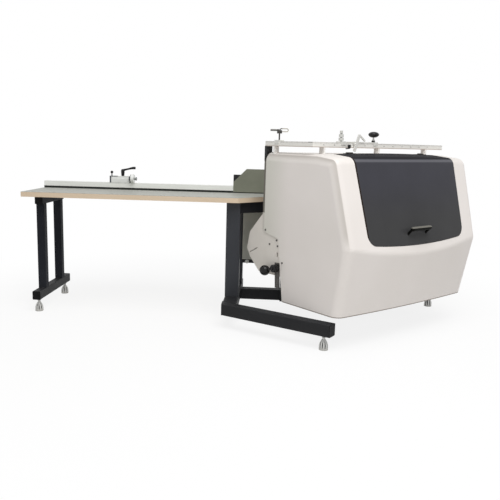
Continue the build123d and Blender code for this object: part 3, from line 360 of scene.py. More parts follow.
def moulded_black(name, rough, gloss):
    """Black moulded plastic: a faint grain and a cloudy sheen."""
    finish, shader, place = new_finish(name, specular_ior_level=gloss)
    grain = noise(place, 1400.0, 2.0)
    clouds = noise(place, 25.0, 3.0)
    feed(
        shader,
        base_color=two_shades(clouds, tone(20, 20, 21), tone(30, 30, 32)),
        roughness=rough + 0.14 * clouds,
        normal=raised(grain, 0.0001, 0.4),
    )
    return finish


def bar_along(path, radius, side, columns=24):
    """Bar along a line of points that is square to the side direction: round each point a circle of its
    radius, square to the line there."""
    path = np.array(path)
    onward = np.gradient(path, axis=0)
    onward /= np.linalg.norm(onward, axis=1, keepdims=True)
    over = np.cross(onward, side)[:, None, :]
    turn = np.linspace(0.0, 2 * np.pi, columns, endpoint=False)[None, :, None]
    around = np.cos(turn) * np.array(side) + np.sin(turn) * over
    return path[:, None, :] + np.reshape(radius, (-1, 1, 1)) * around


def weld_bead(left, right):
    """Bead between two points: a circle carried along the line, its radius swelling with each ripple and
    falling to a third at both ends."""
    line = np.array(right) - np.array(left)
    length = np.linalg.norm(line)
    share = np.linspace(0.0, 1.0, int(length / weld_pitch * ripple_rings))
    ripple = 1 + weld_ripple * np.cos(2 * np.pi * share * length / weld_pitch)
    taper = np.minimum(1.0, weld_end + np.minimum(share, 1 - share) * length / (2 * weld_size))
    path = np.array(left) + share[:, None] * line
    beside = np.cross(upright, line / length)
    return bar_along(path, weld_size * ripple * taper, beside, weld_points)


# One anthracite coat in three copies: the left stand's uprights and top bar take a copy with almost no sheen
# as painted shade, and the right uprights a paler copy as painted light.
frame_coat = anthracite_coat("frame_coat", 0.17, tone(30, 31, 34), tone(36, 37, 40))
left_stand_shade_coat = anthracite_coat("left_stand_shade_coat", 0.04, tone(38, 40, 45), tone(44, 46, 52))
right_stand_light_coat = anthracite_coat("right_stand_light_coat", 0.3, tone(46, 48, 53), tone(53, 55, 60))
cap_plastic = moulded_black("cap_plastic", 0.45, 0.08)
dress(left_stand_shade_coat, "left_front_upright", "left_rear_upright", "left_top_bar")
dress(frame_coat, "left_base_bar", "right_base_bar", "table_rail")
dress(frame_coat, "front_leg_bar", "rear_leg_bar", "far_leg_bar")
dress(right_stand_light_coat, "right_front_upright", "right_rear_upright")
dress(cap_plastic, "tube_caps")

beads = []
for tube in ("left_front_upright", "left_rear_upright", "right_front_upright", "right_rear_upright"):
    low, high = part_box(tube)
    left = low.x + weld_inset
    right = high.x - weld_inset
    for face in (low.y, high.y):
        for height in (low.z, high.z):
            beads.append(weld_bead((left, face, height), (right, face, height)))
add_piece("weld_beads", beads, frame_coat, "frame")


# Table. A birch plywood board, lacquered at its cut edges, with a grey laminate pressed on top. It lies on
# the stands, and its right end is cut at 45 degrees along the head.

ply_thickness = 0.0016


def birch_plywood():
    """Plies seen in the cut edges as bands along Z, with fine grain along X."""
    finish, shader, place = new_finish("birch_plywood", specular_ior_level=0.35)
    wander = noise(stretched(place, 3.0, 3.0, 3.0), 2.0, 3.0)
    layer = part_of(place, "Z") / ply_thickness + 0.8 * wander
    band = layer.math("PINGPONG", layer, 1.0)
    grain = noise(stretched(place, 12.0, 260.0, 260.0), 4.0, 5.0, 0.6)
    drift = noise(stretched(place, 1.2, 1.2, 1.2), 2.0, 2.0)
    mixed = band * 0.5 + grain * 0.35 + drift * 0.15
    feed(
        shader,
        base_color=shades(
            mixed,
            (0.2, tone(236, 218, 195)),
            (0.55, tone(224, 203, 177)),
            (0.85, tone(200, 174, 143)),
        ),
        roughness=0.42 + 0.2 * grain,
        normal=raised(mixed, 0.0002, 0.4),
    )
    return finish


def grey_laminate():
    """Fine matt laminate: grey with a faint speckle."""
    finish, shader, place = new_finish("grey_laminate", specular_ior_level=0.4)
    speckle = noise(place, 900.0, 2.0)
    clouds = noise(place, 2.5, 3.0)
    mixed = speckle * 0.5 + clouds * 0.5
    feed(
        shader,
        base_color=two_shades(mixed, tone(158, 159, 152), tone(172, 173, 166)),
        roughness=0.42 + 0.18 * speckle,
        normal=raised(speckle, 0.0001, 0.3),
    )
    return finish


dress(birch_plywood(), "table_board")
dress(grey_laminate(), "table_laminate")


# Fence. An anodised aluminium extrusion screwed to the table from below. The die leaves fine lines along it.
# A black rubber strip with a lip up its face fills the chip groove at its foot, a dark thing put there to
# stand for the shade in that groove.

groove_height = 0.011
strip_setback = 0.002   # behind the face of the fence
strip_depth = 0.009
strip_inset = 0.001     # from the ends of the fence
strip_play = 0.0002     # between the strip and the fence
strip_corner = 0.3      # power that squares the strip's oval, where 1 would leave it round
lip_height = 0.0155
lip_depth = 0.003


def turned(place, angle):
    """Coordinates turned about Z, so that X runs along a piece that stands at that angle."""
    inputs = {"Vector": place, "Rotation": (0, 0, -angle)}
    return place.node("ShaderNodeMapping", {"vector_type": "POINT"}, inputs)


def anodised(name, low, high, rough, angle=0.0):
    """Anodised aluminium: fine lines along the piece from the die over a clouded silver."""
    finish, shader, place = new_finish(name, metallic=0.3)
    lined = turned(place, angle)
    lines = noise(stretched(lined, 1.5, 500.0, 500.0), 2.0, 3.0, 0.6)
    clouds = noise(place, 7.0, 3.0)
    mixed = lines * 0.6 + clouds * 0.4
    feed(
        shader,
        base_color=two_shades(mixed, low, high),
        roughness=rough + 0.15 * lines,
        normal=raised(lines, 0.00012, 0.3),
    )
    return finish


def soft_rubber():
    """Black rubber, dull, and slightly grey in a fine grain where it is worn."""
    finish, shader, place = new_finish("soft_rubber", specular_ior_level=0.3)
    grain = noise(place, 500.0, 3.0)
    feed(
        shader,
        base_color=two_shades(grain, tone(30, 30, 28), tone(44, 44, 42)),
        roughness=0.75 + 0.15 * grain,
        normal=raised(grain, 0.0003, 0.5),
    )
    return finish


def rounded_strip(low, high):
    """Strip along X between two corners: an oval carried from end to end. Its sine and cosine are raised to a
    small power, so that it fills a rectangle up to rounded corners."""
    turn = np.linspace(0.0, 2 * np.pi, 32, endpoint=False)
    half = (np.array(high) - np.array(low)) / 2
    middle = (np.array(high) + np.array(low)) / 2
    back = middle[1] + half[1] * np.sign(np.cos(turn)) * np.abs(np.cos(turn)) ** strip_corner
    upward = middle[2] + half[2] * np.sign(np.sin(turn)) * np.abs(np.sin(turn)) ** strip_corner
    along = np.linspace(low[0], high[0], 60)[:, None]
    return np.stack(np.broadcast_arrays(along, back, upward), -1)


rubber = soft_rubber()
dress(anodised("fence_silver", tone(232, 233, 228), tone(244, 245, 240), 0.36), "fence_profile")
fence_low, fence_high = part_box("fence_profile")
strip_left = fence_low.x + strip_inset
strip_right = fence_high.x - strip_inset
strip_front = fence_low.y + strip_setback
strip_foot = fence_low.z + strip_play
strip_low = (strip_left, strip_front, strip_foot)
strip_high = (strip_right, strip_front + strip_depth, fence_low.z + groove_height - strip_play)
lip_low = (strip_left, fence_low.y - lip_depth, strip_foot)
lip_high = (strip_right, fence_low.y - strip_play, fence_low.z + lip_height)
# the black strip stands for the shade in the chip groove
groove_shade_grids = [rounded_strip(strip_low, strip_high), rounded_strip(lip_low, lip_high)]
add_piece("groove_shade_strip", groove_shade_grids, rubber, "frame")


# Guard at the end of the fence. An olive powder coated sheet is fixed to the front of a black folded bracket,
# which stands on top of the fence.

def satin_paint(name, low, high, gloss, peel, clouds, rough, relief, spread=0.15):
    """Satin paint between two shades: slow clouds in its colour and sheen, over fine orange peel. Peel and
    clouds are given in waves to the metre."""
    finish, shader, place = new_finish(name, specular_ior_level=gloss)
    skin = noise(place, peel, 2.0)
    cloud = noise(place, clouds, 3.0)
    feed(
        shader,
        base_color=two_shades(cloud, low, high),
        roughness=rough + spread * cloud,
        normal=raised(skin, 0.0002, relief),
    )
    return finish


def olive_coat(name, low, high):
    """Olive grey powder coat with a fine texture."""
    return satin_paint(name, low, high, gloss=0.35, peel=800.0, clouds=6.0, rough=0.45, relief=0.4)


def black_coat():
    """Satin black paint, a little cloudier in its sheen."""
    return satin_paint(
        "black_coat",
        tone(24, 24, 25),
        tone(34, 34, 36),
        gloss=0.3,
        peel=600.0,
        clouds=12.0,
        rough=0.38,
        relief=0.35,
        spread=0.18,
    )


bracket_black = black_coat()
dress(olive_coat("olive_sheet", tone(120, 122, 108), tone(132, 134, 119)), "guard_plate")
dress(bracket_black, "guard_bracket")


# Control cabinet. A moulded olive grey box that hangs below the table on a black steel bracket, which a zinc
# plated hexagon bolt with a washer holds.

bolt_inset = 0.0366     # from the left end of the bracket
bolt_height = 0.0105    # above the lower edge of the bracket
bolt_size = 0.013       # across the flats


def hexagon_rings(radii, angled):
    """Radii round each ring: a circle or, where it is marked with 1, a hexagon round that circle, whose
    radius is one over the cosine of the angle to the nearest flat."""
    turn = np.linspace(0.0, 2 * np.pi, ring_points, endpoint=False)
    nearest = np.mod(turn + np.pi / 6, np.pi / 3) - np.pi / 6
    return np.array(radii)[:, None] * (1 + np.array(angled)[:, None] * (1 / np.cos(nearest) - 1))


def hexagon_bolt(middle, size):
    """Bolt head and washer that stand out towards -Y: rings run from the washer's rim to the hexagon head."""
    radius = hexagon_rings([1.15, 1.15, 0.5, 0.5, 0.5, 0.42], [0, 0, 1, 1, 1, 0])
    height = np.array([0.0, 0.14, 0.14, 0.2, 0.62, 0.68])
    return rings_about(middle, (0.0, -1.0, 0.0), radius * size, height * size)


def clouded_metal(name, low, high, scale, rough, spread, **constants):
    """Metal between two shades: clouds of so many waves to the metre in its colour, sheen and relief."""
    finish, shader, place = new_finish(name, **constants)
    clouds = noise(place, scale, 4.0)
    feed(
        shader,
        base_color=two_shades(clouds, low, high),
        roughness=rough + spread * clouds,
        normal=raised(clouds, 0.0001, 0.3),
    )
    return finish


def zinc_plate():
    """Zinc plated steel: bright with a faint yellow cloud."""
    shade = (tone(176, 176, 170), tone(212, 212, 208))
    return clouded_metal("zinc_plate", *shade, scale=160.0, rough=0.3, spread=0.2, metallic=0.85)


zinc = zinc_plate()
dress(olive_coat("cabinet_shell", tone(178, 180, 172), tone(190, 192, 183)), "control_cabinet")
dress(bracket_black, "cabinet_bracket")
bracket_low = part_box("cabinet_bracket")[0]
bolt_place = (bracket_low.x + bolt_inset, bracket_low.y, bracket_low.z + bolt_height)
add_piece("bracket_bolt", [hexagon_bolt(bolt_place, bolt_size)], zinc, "frame")


# Fence stop. A pale anodised carriage between dark end plates, clamped on the fence by a moulded lever. It
# has a spring pin under a ball and a round stop that turns on the carriage axle.

end_plate = 0.012
shade_edge = 0.0005     # half the width over which one shade of the carriage turns to the next
stop_rim = 0.004        # width of the dark left edge of the round stop
rim_fade = 0.001        # width over which that edge ends
groove_pitch = 0.009    # from one groove along the carriage to the next
groove_half = 0.0006    # half the width in which the painted shade of a groove is at its darkest
groove_side = 0.0012    # from the middle of a groove to where its painted shade has faded
line_length = 0.045     # of the dark line along the left part of the carriage's top
line_fade = 0.01        # length over which that line ends
line_low = 0.008        # from the carriage's top down to where that line begins
line_high = 0.007       # from the top down to where it is full
hub_share = 0.72        # height of the lever's hub, of the whole lever's
lever_root = 0.0095     # radius of the lever's arm at its hub
lever_tip = 1.1         # middle of the arm's end below the lever's top, of the root's radius
bend_start = 0.65       # of the arm's run, up to which it climbs straight
bend_end = 0.9          # from which it is level
arm_waist = 0.25        # how much thinner the arm is at its waist, of the root's radius
arm_swell = 0.15        # how much thicker it is at the end of its grip
grip_start = 0.75       # of the arm's run


def away_from(place, middle, used):
    """Distance from a point, counted only along the axes marked with 1."""
    shifted = place.node("ShaderNodeVectorMath", {"operation": "SUBTRACT"}, {0: place, 1: middle})
    flat = place.node("ShaderNodeVectorMath", {"operation": "MULTIPLY"}, {0: shifted, 1: used})
    return place.node("ShaderNodeVectorMath", {"operation": "LENGTH"}, {0: flat}, "Value")


def carriage_silver(left, right, axle, top):
    """Pale anodised body with painted shade in the grooves along it, dark left of the first place and right
    of the second, grey at the end of its axle, with a dark line along the left part of its top."""
    finish, shader, place = new_finish("carriage_silver", metallic=0.1)
    along = part_of(place, "X")
    height = part_of(place, "Z")
    past_left = step(along, left - shade_edge, left + shade_edge)
    past_right = step(along, right - shade_edge, right + shade_edge)
    past_axle = step(along, axle - shade_edge, axle + shade_edge)
    plates = 1.0 - past_left * (1.0 - past_right)
    groove = 1.0 - step(height.math("PINGPONG", height, groove_pitch / 2), groove_half, groove_side)
    line_end = left + line_length
    line = step(height, top - line_low, top - line_high) * (1.0 - step(along, line_end, line_end + line_fade))
    lines = noise(stretched(place, 3.0, 600.0, 600.0), 2.0, 3.0)
    silver = two_shades(lines, tone(236, 237, 234), tone(246, 247, 244))
    # painted shade in the grooves
    groove_shaded = painted(groove * 0.7, silver, tone(150, 152, 152))
    lined = painted(line * 0.8, groove_shaded, tone(96, 98, 100))
    plated = painted(plates, lined, tone(72, 76, 82))
    feed(
        shader,
        base_color=painted(past_axle, plated, tone(134, 137, 135)),
        roughness=0.34 + 0.15 * lines,
        normal=raised(lines * 0.2 - groove, 0.0005, 0.5),
    )
    return finish


def rimmed_silver(left, middle):
    """Turned aluminium disc about X: rings on its faces, a pale rim and a dark left edge."""
    finish, shader, place = new_finish("rimmed_silver", metallic=0.1)
    distance = away_from(place, middle, (0.0, 1.0, 1.0))
    rings = distance.math("SINE", distance * 4000.0) * 0.5 + 0.5
    edge = 1.0 - step(part_of(place, "X"), left + stop_rim, left + stop_rim + rim_fade)
    face = shades(rings, (0.0, tone(232, 233, 230)), (1.0, tone(244, 245, 242)))
    feed(
        shader,
        base_color=painted(edge, face, tone(70, 70, 66)),
        roughness=0.3 + 0.12 * rings,
        normal=raised(rings, 0.0001, 0.3),
    )
    return finish


def lever_hub(middle, widest, high):
    """Hub turned about Z: a narrow foot, a stout body that widens upwards and a rounded top."""
    height = np.array([0.0, 0.06, 0.1, 0.3, 0.55, 0.8, 0.93, 1.0])
    radius = np.array([0.9, 0.9, 0.98, 1.08, 1.18, 1.16, 0.95, 0.55])[:, None]
    return rings_about(middle, upright, radius * widest, height * high)


def closed_ends(share):
    """Share of a bar's full radius along its run from 0 to 1: the root of 1 less a high power of the distance
    from the middle, so that it stays full up to two rounded ends."""
    power = 24
    smallest = 0.01
    return np.sqrt(np.clip(1.0 - np.abs(2 * share - 1) ** power, smallest, 1.0))


def lever_arm(root, tip):
    """Arm in the plane of X and Z: it climbs straight and bends level towards its end, where its slope falls
    evenly to nothing. Its radius falls along half a wave to the waist, swells to the grip and closes at both
    ends."""
    share = np.linspace(0.0, 1.0, 41)
    slope = np.clip((bend_end - share) / (bend_end - bend_start), 0.0, 1.0)
    climb = np.cumsum(slope) / np.sum(slope)
    path = np.stack([
        root[0] + share * (tip[0] - root[0]),
        np.full_like(share, root[1]),
        root[2] + climb * (tip[2] - root[2]),
    ], -1)
    waist = arm_waist * np.sin(np.pi * np.minimum(share / grip_start, 1.0))
    swell = arm_swell * np.clip((share - grip_start) / (1 - grip_start), 0.0, 1.0)
    radius = lever_root * (1.0 - waist + swell) * closed_ends(share)
    return bar_along(path, radius, (0.0, 1.0, 0.0))


knob_black = moulded_black("knob_black", 0.14, 0.25)
carriage_low, carriage_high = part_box("stop_carriage")
disc_low, disc_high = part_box("stop_disc")
body_right = disc_low.x - end_plate
dress(carriage_silver(carriage_low.x + end_plate, body_right, disc_high.x, carriage_high.z), "stop_carriage")
dress(rimmed_silver(disc_low.x, (disc_low + disc_high) / 2), "stop_disc")
dress(knob_black, "stop_pin")

lever_low, lever_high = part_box("stop_lever")
lever_half = (lever_high.y - lever_low.y) / 2
hub_middle = (lever_low.x + lever_half, lever_low.y + lever_half, lever_low.z)
hub_high = hub_share * (lever_high.z - lever_low.z)
arm_root = (hub_middle[0], hub_middle[1], lever_low.z + hub_high - lever_root)
arm_tip = (lever_high.x, hub_middle[1], lever_high.z - lever_tip * lever_root)
lever_grids = [lever_hub(hub_middle, lever_half, hub_high), lever_arm(arm_root, arm_tip)]
lever_piece = add_piece("fence_lever", lever_grids, knob_black, "table_stop_lever")
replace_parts(lever_piece, "stop_lever")


# Swivel. A welded and coated steel column stands under the head. A turned thrust ring lies on its foot, and
# the sleeve of the head turns on the ring around it.

def milled_iron():
    """Machined cast iron: cutter marks and dark oily clouds."""
    finish, shader, place = new_finish("milled_iron", metallic=0.9)
    marks = noise(stretched(place, 60.0, 60.0, 600.0), 2.0, 3.0)
    clouds = noise(place, 18.0, 4.0)
    mixed = marks * 0.5 + clouds * 0.5
    feed(
        shader,
        base_color=shades(mixed, (0.25, tone(128, 128, 130)), (0.75, tone(168, 168, 168))),
        roughness=0.3 + 0.3 * clouds,
        normal=raised(marks, 0.00015, 0.4),
    )
    return finish


iron = milled_iron()
bright_steel = turned_steel("bright_steel")
dress(frame_coat, "swivel_column")
dress(bright_steel, "thrust_ring")
dress(frame_coat, "swivel_sleeve")


# Head frame. A rear wall with the work opening, two painted cheeks, a machined bed plate, rubber edging and a
# galvanised dust spigot with a rolled bead, bolted together. Socket screws hold the left cheek and the hood.

head_angle = math.radians(42.0)     # how far the head stands turned at rest
ahead = np.array((math.sin(head_angle), -math.cos(head_angle), 0.0))
across = np.array((math.cos(head_angle), math.sin(head_angle), 0.0))
# Places of the screws: how far ahead of the hood's rear edge, and height
cheek_screws = ((0.057, 0.597), (0.140, 0.594), (0.128, 0.632))
hood_screws = ((0.016, 0.692), (0.197, 0.487))
screw_radius = 0.0065
screw_head = 0.004      # how far a screw's head stands out
bead_radius = 0.004
bead_sunk = 0.0005      # foot of the bead below the skin of the tube
bead_inset = 0.012      # from the free end of the spigot
bead_points = 96        # points round the spigot
seal_black = 0.07       # height of the black part at the top of the edging
seal_fade = 0.03        # height over which that part begins
seal_painted = 0.81     # height up to which the edging is painted with the cheek
paint_edge = 0.004      # half the height over which the paint ends


def reach(node, direction):
    """How far a CAD node goes along a direction: its first and last place."""
    places = points_of(node) @ direction
    return places.min(), places.max()


def head_point(forward, sideways, height):
    """A point given along the head's own directions: ahead, across and up."""
    return forward * ahead + sideways * across + height * upright


def pale_paint():
    """Warm white satin paint with soft clouds."""
    shade = (tone(228, 223, 215), tone(235, 230, 223))
    return satin_paint("pale_paint", *shade, gloss=0.35, peel=500.0, clouds=4.0, rough=0.4, relief=0.3)


def galvanised_sheet():
    """Zinc coated sheet: spangles in colour and sheen."""
    finish, shader, place = new_finish("galvanised_sheet", metallic=1.0)
    cells = place.node("ShaderNodeTexVoronoi", None, {"Vector": place, "Scale": 90.0}, "Color")
    grey = cells.node("ShaderNodeRGBToBW", None, {"Color": cells})
    feed(
        shader,
        base_color=shades(grey, (0.2, tone(160, 163, 166)), (0.8, tone(198, 200, 202))),
        roughness=0.32 + 0.2 * grey,
        normal=raised(noise(place, 300.0), 0.0001, 0.3),
    )
    return finish


def dark_steel():
    """Blackened steel: brownish clouds and worn sheen."""
    return clouded_metal(
        "dark_steel",
        tone(78, 76, 74),
        tone(106, 104, 101),
        scale=80.0,
        rough=0.34,
        spread=0.25,
        metallic=0.6,
        specular_ior_level=0.3,
    )


def aged_rubber(high):
    """Rubber edging: black at its top, painted grey shade below, and painted over beside the cheek."""
    finish, shader, place = new_finish("aged_rubber", specular_ior_level=0.2)
    grain = noise(place, 500.0, 3.0)
    height = part_of(place, "Z")
    black = step(height, high - seal_black, high - seal_black + seal_fade)
    bare = step(height, seal_painted - paint_edge, seal_painted + paint_edge)
    # painted grey shade below the black top
    painted_lighting = two_shades(grain, tone(112, 109, 102), tone(128, 125, 117))
    shade_and_cheek_paint = painted(bare, tone(212, 208, 200), painted_lighting)
    feed(
        shader,
        base_color=painted(black, shade_and_cheek_paint, tone(34, 34, 32)),
        roughness=0.75 + 0.15 * grain,
        normal=raised(grain, 0.0003, 0.5),
    )
    return finish


def socket_screw(middle):
    """Screw head that stands out to the left of the head: rings go up the rim, over the face and down into
    the hexagon socket."""
    radius = hexagon_rings([1.0, 1.0, 0.9, 0.5, 0.46, 0.46], [0, 0, 0, 1, 1, 1])
    height = np.array([0.0, 0.85, 1.0, 1.0, 0.92, 0.35])
    return rings_about(middle, -across, radius * screw_radius, height * screw_head)


def bead_ring(middle, radius):
    """Rolled bead round the spigot, whose axis runs back from the head: rings follow a small circle whose
    inner half lies flat in the wall of the tube."""
    angle = np.linspace(0.0, 2 * np.pi, 24, endpoint=False)
    swell = radius + np.maximum(bead_radius * np.sin(angle), -bead_sunk)[:, None]
    return rings_about(middle, -ahead, swell, -bead_radius * np.cos(angle), bead_points)


head_paint = pale_paint()
screw_steel = dark_steel()
galvanised = galvanised_sheet()
dress(head_paint, "rear_wall", "left_cheek", "right_cheek")
dress(iron, "bed_plate")
dress(aged_rubber(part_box("rear_seal")[1].z), "rear_seal")
dress(galvanised, "dust_spigot")

hood_rear = reach("hood_shell", ahead)[0]
hood_left = reach("hood_shell", across)[0]
cheek_left = reach("left_cheek", across)[0]
screws = []
for side, places in ((cheek_left, cheek_screws), (hood_left, hood_screws)):
    for forward, height in places:
        screws.append(socket_screw(head_point(hood_rear + forward, side, height)))
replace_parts(add_piece("socket_screws", screws, screw_steel, "head"), "panel_screws")

spigot_low, spigot_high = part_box("dust_spigot")
spigot_left, spigot_right = reach("dust_spigot", across)
bead_place = reach("dust_spigot", ahead)[0] + bead_inset
spigot_height = (spigot_low.z + spigot_high.z) / 2
bead_middle = head_point(bead_place, (spigot_left + spigot_right) / 2, spigot_height)
bead = bead_ring(bead_middle, (spigot_right - spigot_left) / 2)
add_piece("spigot_bead", [bead], galvanised, "head", looped=True)


# Hood. One large moulding with a soft satin skin, screwed to the rear wall and the cheeks. Painted shade
# darkens its roof, the part ahead of its rear edge, its lower edge and the upper round edges of its left
# side, and its roof has a duller sheen.

# height of the painted shade along the hood's lower edge
edge_shade_height = 0.006
edge_shade_fade = 0.001       # height over which that painted shade ends
hood_roof_shade = 0.07        # height below the top from which the painted shade on the roof begins
rear_shade_depth = 0.26      # depth of the painted shade ahead of the rear edge
shaded_edge = 0.02      # width of the painted shade on the upper round edges of the left side
shaded_fade = 0.006     # width over which that painted shade ends
shaded_low = 0.62       # height at which that painted shade begins
shaded_full = 0.76      # height from which it is full
darkest_shade_low = 0.085     # from the top down to where that painted shade begins to turn darker towards the roof
darkest_shade_high = 0.05     # from the top down to where it has turned


def moulded_white(low, high, rear, left):
    """Satin white moulding: very fine grain, slow clouds of warmth, painted shade and a duller sheen on top,
    painted shade along the lower edge, painted shade that fades ahead of the rear edge, and painted shade
    where the left side turns to roof and front."""
    finish, shader, place = new_finish("moulded_white", specular_ior_level=0.4)
    grain = noise(place, 1100.0, 2.0)
    clouds = noise(place, 2.2, 3.0)
    height = part_of(place, "Z")
    # painted shade along the lower edge
    edge = 1.0 - step(height, low + edge_shade_height, low + edge_shade_height + edge_shade_fade)
    # dust: painted shade on the roof, which also makes its sheen duller
    dust = step(height, high - hood_roof_shade, high)
    white = two_shades(clouds, tone(240, 234, 229), tone(245, 239, 235))
    forward = distance_along(place, ahead)
    # painted shade that fades ahead of the rear edge
    rear_shade = (1.0 - step(forward, rear, rear + rear_shade_depth)) * (1.0 - dust)
    painted_shade = painted(rear_shade, white, tone(224, 222, 213))
    dusted_and_shaded = painted(dust * 0.8, painted_shade, tone(212, 208, 203))
    # painted shade on the round edges where the left side turns to roof and front, darker still near the roof
    beside = distance_along(place, across)
    bending = beside.math("SQRT", step(beside, left, left + shaded_edge))
    past_bend = step(beside, left + shaded_edge, left + shaded_edge + shaded_fade)
    shaded = bending * step(height, shaded_low, shaded_full) * (1.0 - past_bend)
    near_roof = step(height, high - darkest_shade_low, high - darkest_shade_high)
    darkest_shade = painted(near_roof, tone(203, 197, 191), tone(182, 176, 170))
    skin = painted(shaded, dusted_and_shaded, darkest_shade)
    feed(
        shader,
        base_color=painted(edge, skin, tone(158, 148, 140)),
        roughness=0.4 + 0.12 * clouds + 0.2 * dust,
        normal=raised(grain, 0.00008, 0.3),
    )
    return finish


hood_low, hood_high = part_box("hood_shell")
dress(moulded_white(hood_low.z, hood_high.z, hood_rear, hood_left), "hood_shell")


# Clamp of the head. A hub, a short arm and a glossy ball, moulded in black plastic as one lever. It turns on
# a dark steel plate that is fixed to the left cheek.

hub_radius = 0.027
hub_length = 0.044
ball_radius = 0.036
ball_nearer = 0.001     # to the free corner of the CAD lever, than half the width of that lever
ball_out = 0.005        # to the left of there
ball_drop = 0.008       # below there
arm_radius = 0.01       # at the hub
arm_taper = 0.2         # how much thinner the arm is at the ball, of that radius


def clamp_hub(middle):
    """Hub turned about the width of the head: rings run out over a groove to a button on the end face."""
    radius = np.array([0.9, 1.0, 1.0, 0.93, 0.93, 1.0, 1.0, 0.85, 0.36, 0.36, 0.33, 0.25])[:, None]
    height = np.array([0.0, 0.05, 0.3, 0.34, 0.42, 0.46, 0.9, 1.0, 1.0, 1.1, 1.13, 1.13])
    return rings_about(middle, -across, radius * hub_radius, height * hub_length)


def clamp_arm(start, end):
    """Straight arm between two points: a circle carried along the line, evenly thinner towards its end."""
    share = np.linspace(0.0, 1.0, 12)[:, None]
    return bar_along(start + share * (end - start), arm_radius * (1 - arm_taper * share), across)


def round_ball(middle, radius):
    """Ball of rings from its lowest to its highest point: sine of the angle for the radius, cosine for the
    height. A small angle is left to a flat cap at both poles."""
    pole = 0.02
    angle = np.linspace(pole, np.pi - pole, 33)
    return rings_about(middle, upright, radius * np.sin(angle)[:, None], -radius * np.cos(angle))


dress(screw_steel, "clamp_plate")
grip_rear, grip_front = reach("clamp_lever", ahead)
grip_left, grip_right = reach("clamp_lever", across)
grip_low, grip_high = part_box("clamp_lever")
ball_inset = (grip_right - grip_left) / 2 - ball_nearer
ball_left = grip_left + ball_inset - ball_out
ball_height = grip_low.z + ball_inset - ball_drop
ball_place = head_point(grip_rear + ball_inset, ball_left, ball_height)
hub_place = head_point(grip_front - hub_radius, grip_right, grip_high.z - hub_radius)
arm_start = hub_place + (ball_place - hub_place) @ across * across
arm_grid = clamp_arm(arm_start, ball_place)
clamp_grids = [clamp_hub(hub_place), arm_grid, round_ball(ball_place, ball_radius)]
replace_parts(add_piece("clamp_grip", clamp_grids, knob_black, "clamp"), "clamp_lever")


# Stop rails on the roof. Two pale anodised bars on slim feet, engraved with a scale along the top edge. A
# black block holds them at the rear corner. A T-handle clamp slides on the side rail, the width stop on the
# front one.

tick_reach = 0.007      # length of the short marks
tick_long = 0.012       # length of the others
tick_blur = 0.0002      # height over which a mark ends
rail_shade = 0.004      # height of the painted brownish shade along the lower edge
rail_fade = 0.008       # height at which it has faded
feet_black = 0.003      # behind the hood's rear edge, from where the feet are black
feet_pale = 0.001       # behind the hood's rear edge, up to where they are pale
tee_hub = 0.017         # half the width of the T-handle's dark hub
tee_edge = 0.002        # width over which the hub turns to a wing
digit_height = 0.009
digit_relief = 0.0001
scale_step = 0.1        # metres from one number to the next
tier_pitch = 0.023      # from one neck of the turret to the next
# height of the painted shade at each neck
neck_shade_height = 0.004
neck_shade_fade = 0.001       # height over which a neck's shade ends
cap_share = 0.45        # foot of the knob's cap, of the knob's height
collar_share = 0.14     # top of the knob's collar
stem_sunk = 0.006       # end of the stem within the cap
cap_rim = 0.42          # where the cap is widest, of its height
cap_throat = 0.3        # radius of the cap's foot, of its widest
cap_least = 0.0004      # smallest radius, at the top of the cap
dome_power = 2.3        # of the dome's oval, where 2 would make it round
cap_flutes = 10
flute_depth = 0.035     # of the cap's radius
flute_power = 6         # the higher, the sooner the flutes fade away from the rim
cap_points = 96         # points round the cap
lock_inset = 0.002      # end of the lock lever's tail, from the right side of the turret
lock_ahead = 0.0115     # middle of the lock lever, ahead of the front rail
lock_lift = 0.006       # top of its grip, above the foot of the width stop
# Corners of the lock lever's line, to the right of its tail's end and up from its grip's top, with its radii
lock_line = np.array([(0.034, 0.0), (0.034, -0.019), (0.026, -0.026), (0.0, -0.028)])
lock_radii = (0.009, 0.0105, 0.004, 0.0035)
lock_round = 5          # points to each side that the running mean takes in
end_screw = 0.009       # radius of the head


def scale_marks(along, pitch, width):
    """1 on marks of a width that stand one pitch apart."""
    return along.math("LESS_THAN", along.math("PINGPONG", along, pitch / 2), width / 2)


def ruled_silver(name, angle, low, high):
    """Pale anodised bar: die lines along it, scale marks every 2, 10 and 50 mm from its top edge down, and a
    painted brownish shade along the lower edge."""
    finish, shader, place = new_finish(name, metallic=0.1)
    lined = turned(place, angle)
    lines = noise(stretched(lined, 1.5, 500.0, 500.0), 2.0, 3.0, 0.6)
    along = part_of(lined, "X")
    height = part_of(place, "Z")
    top_edge = step(height, high - tick_reach, high - tick_reach + tick_blur)
    long_edge = step(height, high - tick_long, high - tick_long + tick_blur)
    fine = scale_marks(along, 0.002, 0.0006) * top_edge
    tens = scale_marks(along, 0.01, 0.001) * long_edge
    fifties = scale_marks(along, 0.05, 0.002) * long_edge
    ink = along.math("MAXIMUM", along.math("MAXIMUM", fine, tens), fifties)
    # painted shade along the lower edge
    foot = 1.0 - step(height, low + rail_shade, low + rail_fade)
    silver = two_shades(lines, tone(238, 236, 230), tone(247, 245, 240))
    shaded = painted(foot, silver, tone(206, 195, 186))
    feed(
        shader,
        base_color=painted(ink * 0.6, shaded, tone(80, 80, 78)),
        roughness=0.36 + 0.15 * lines,
        normal=raised(lines * 0.3 - ink, 0.0002, 0.4),
    )
    return finish


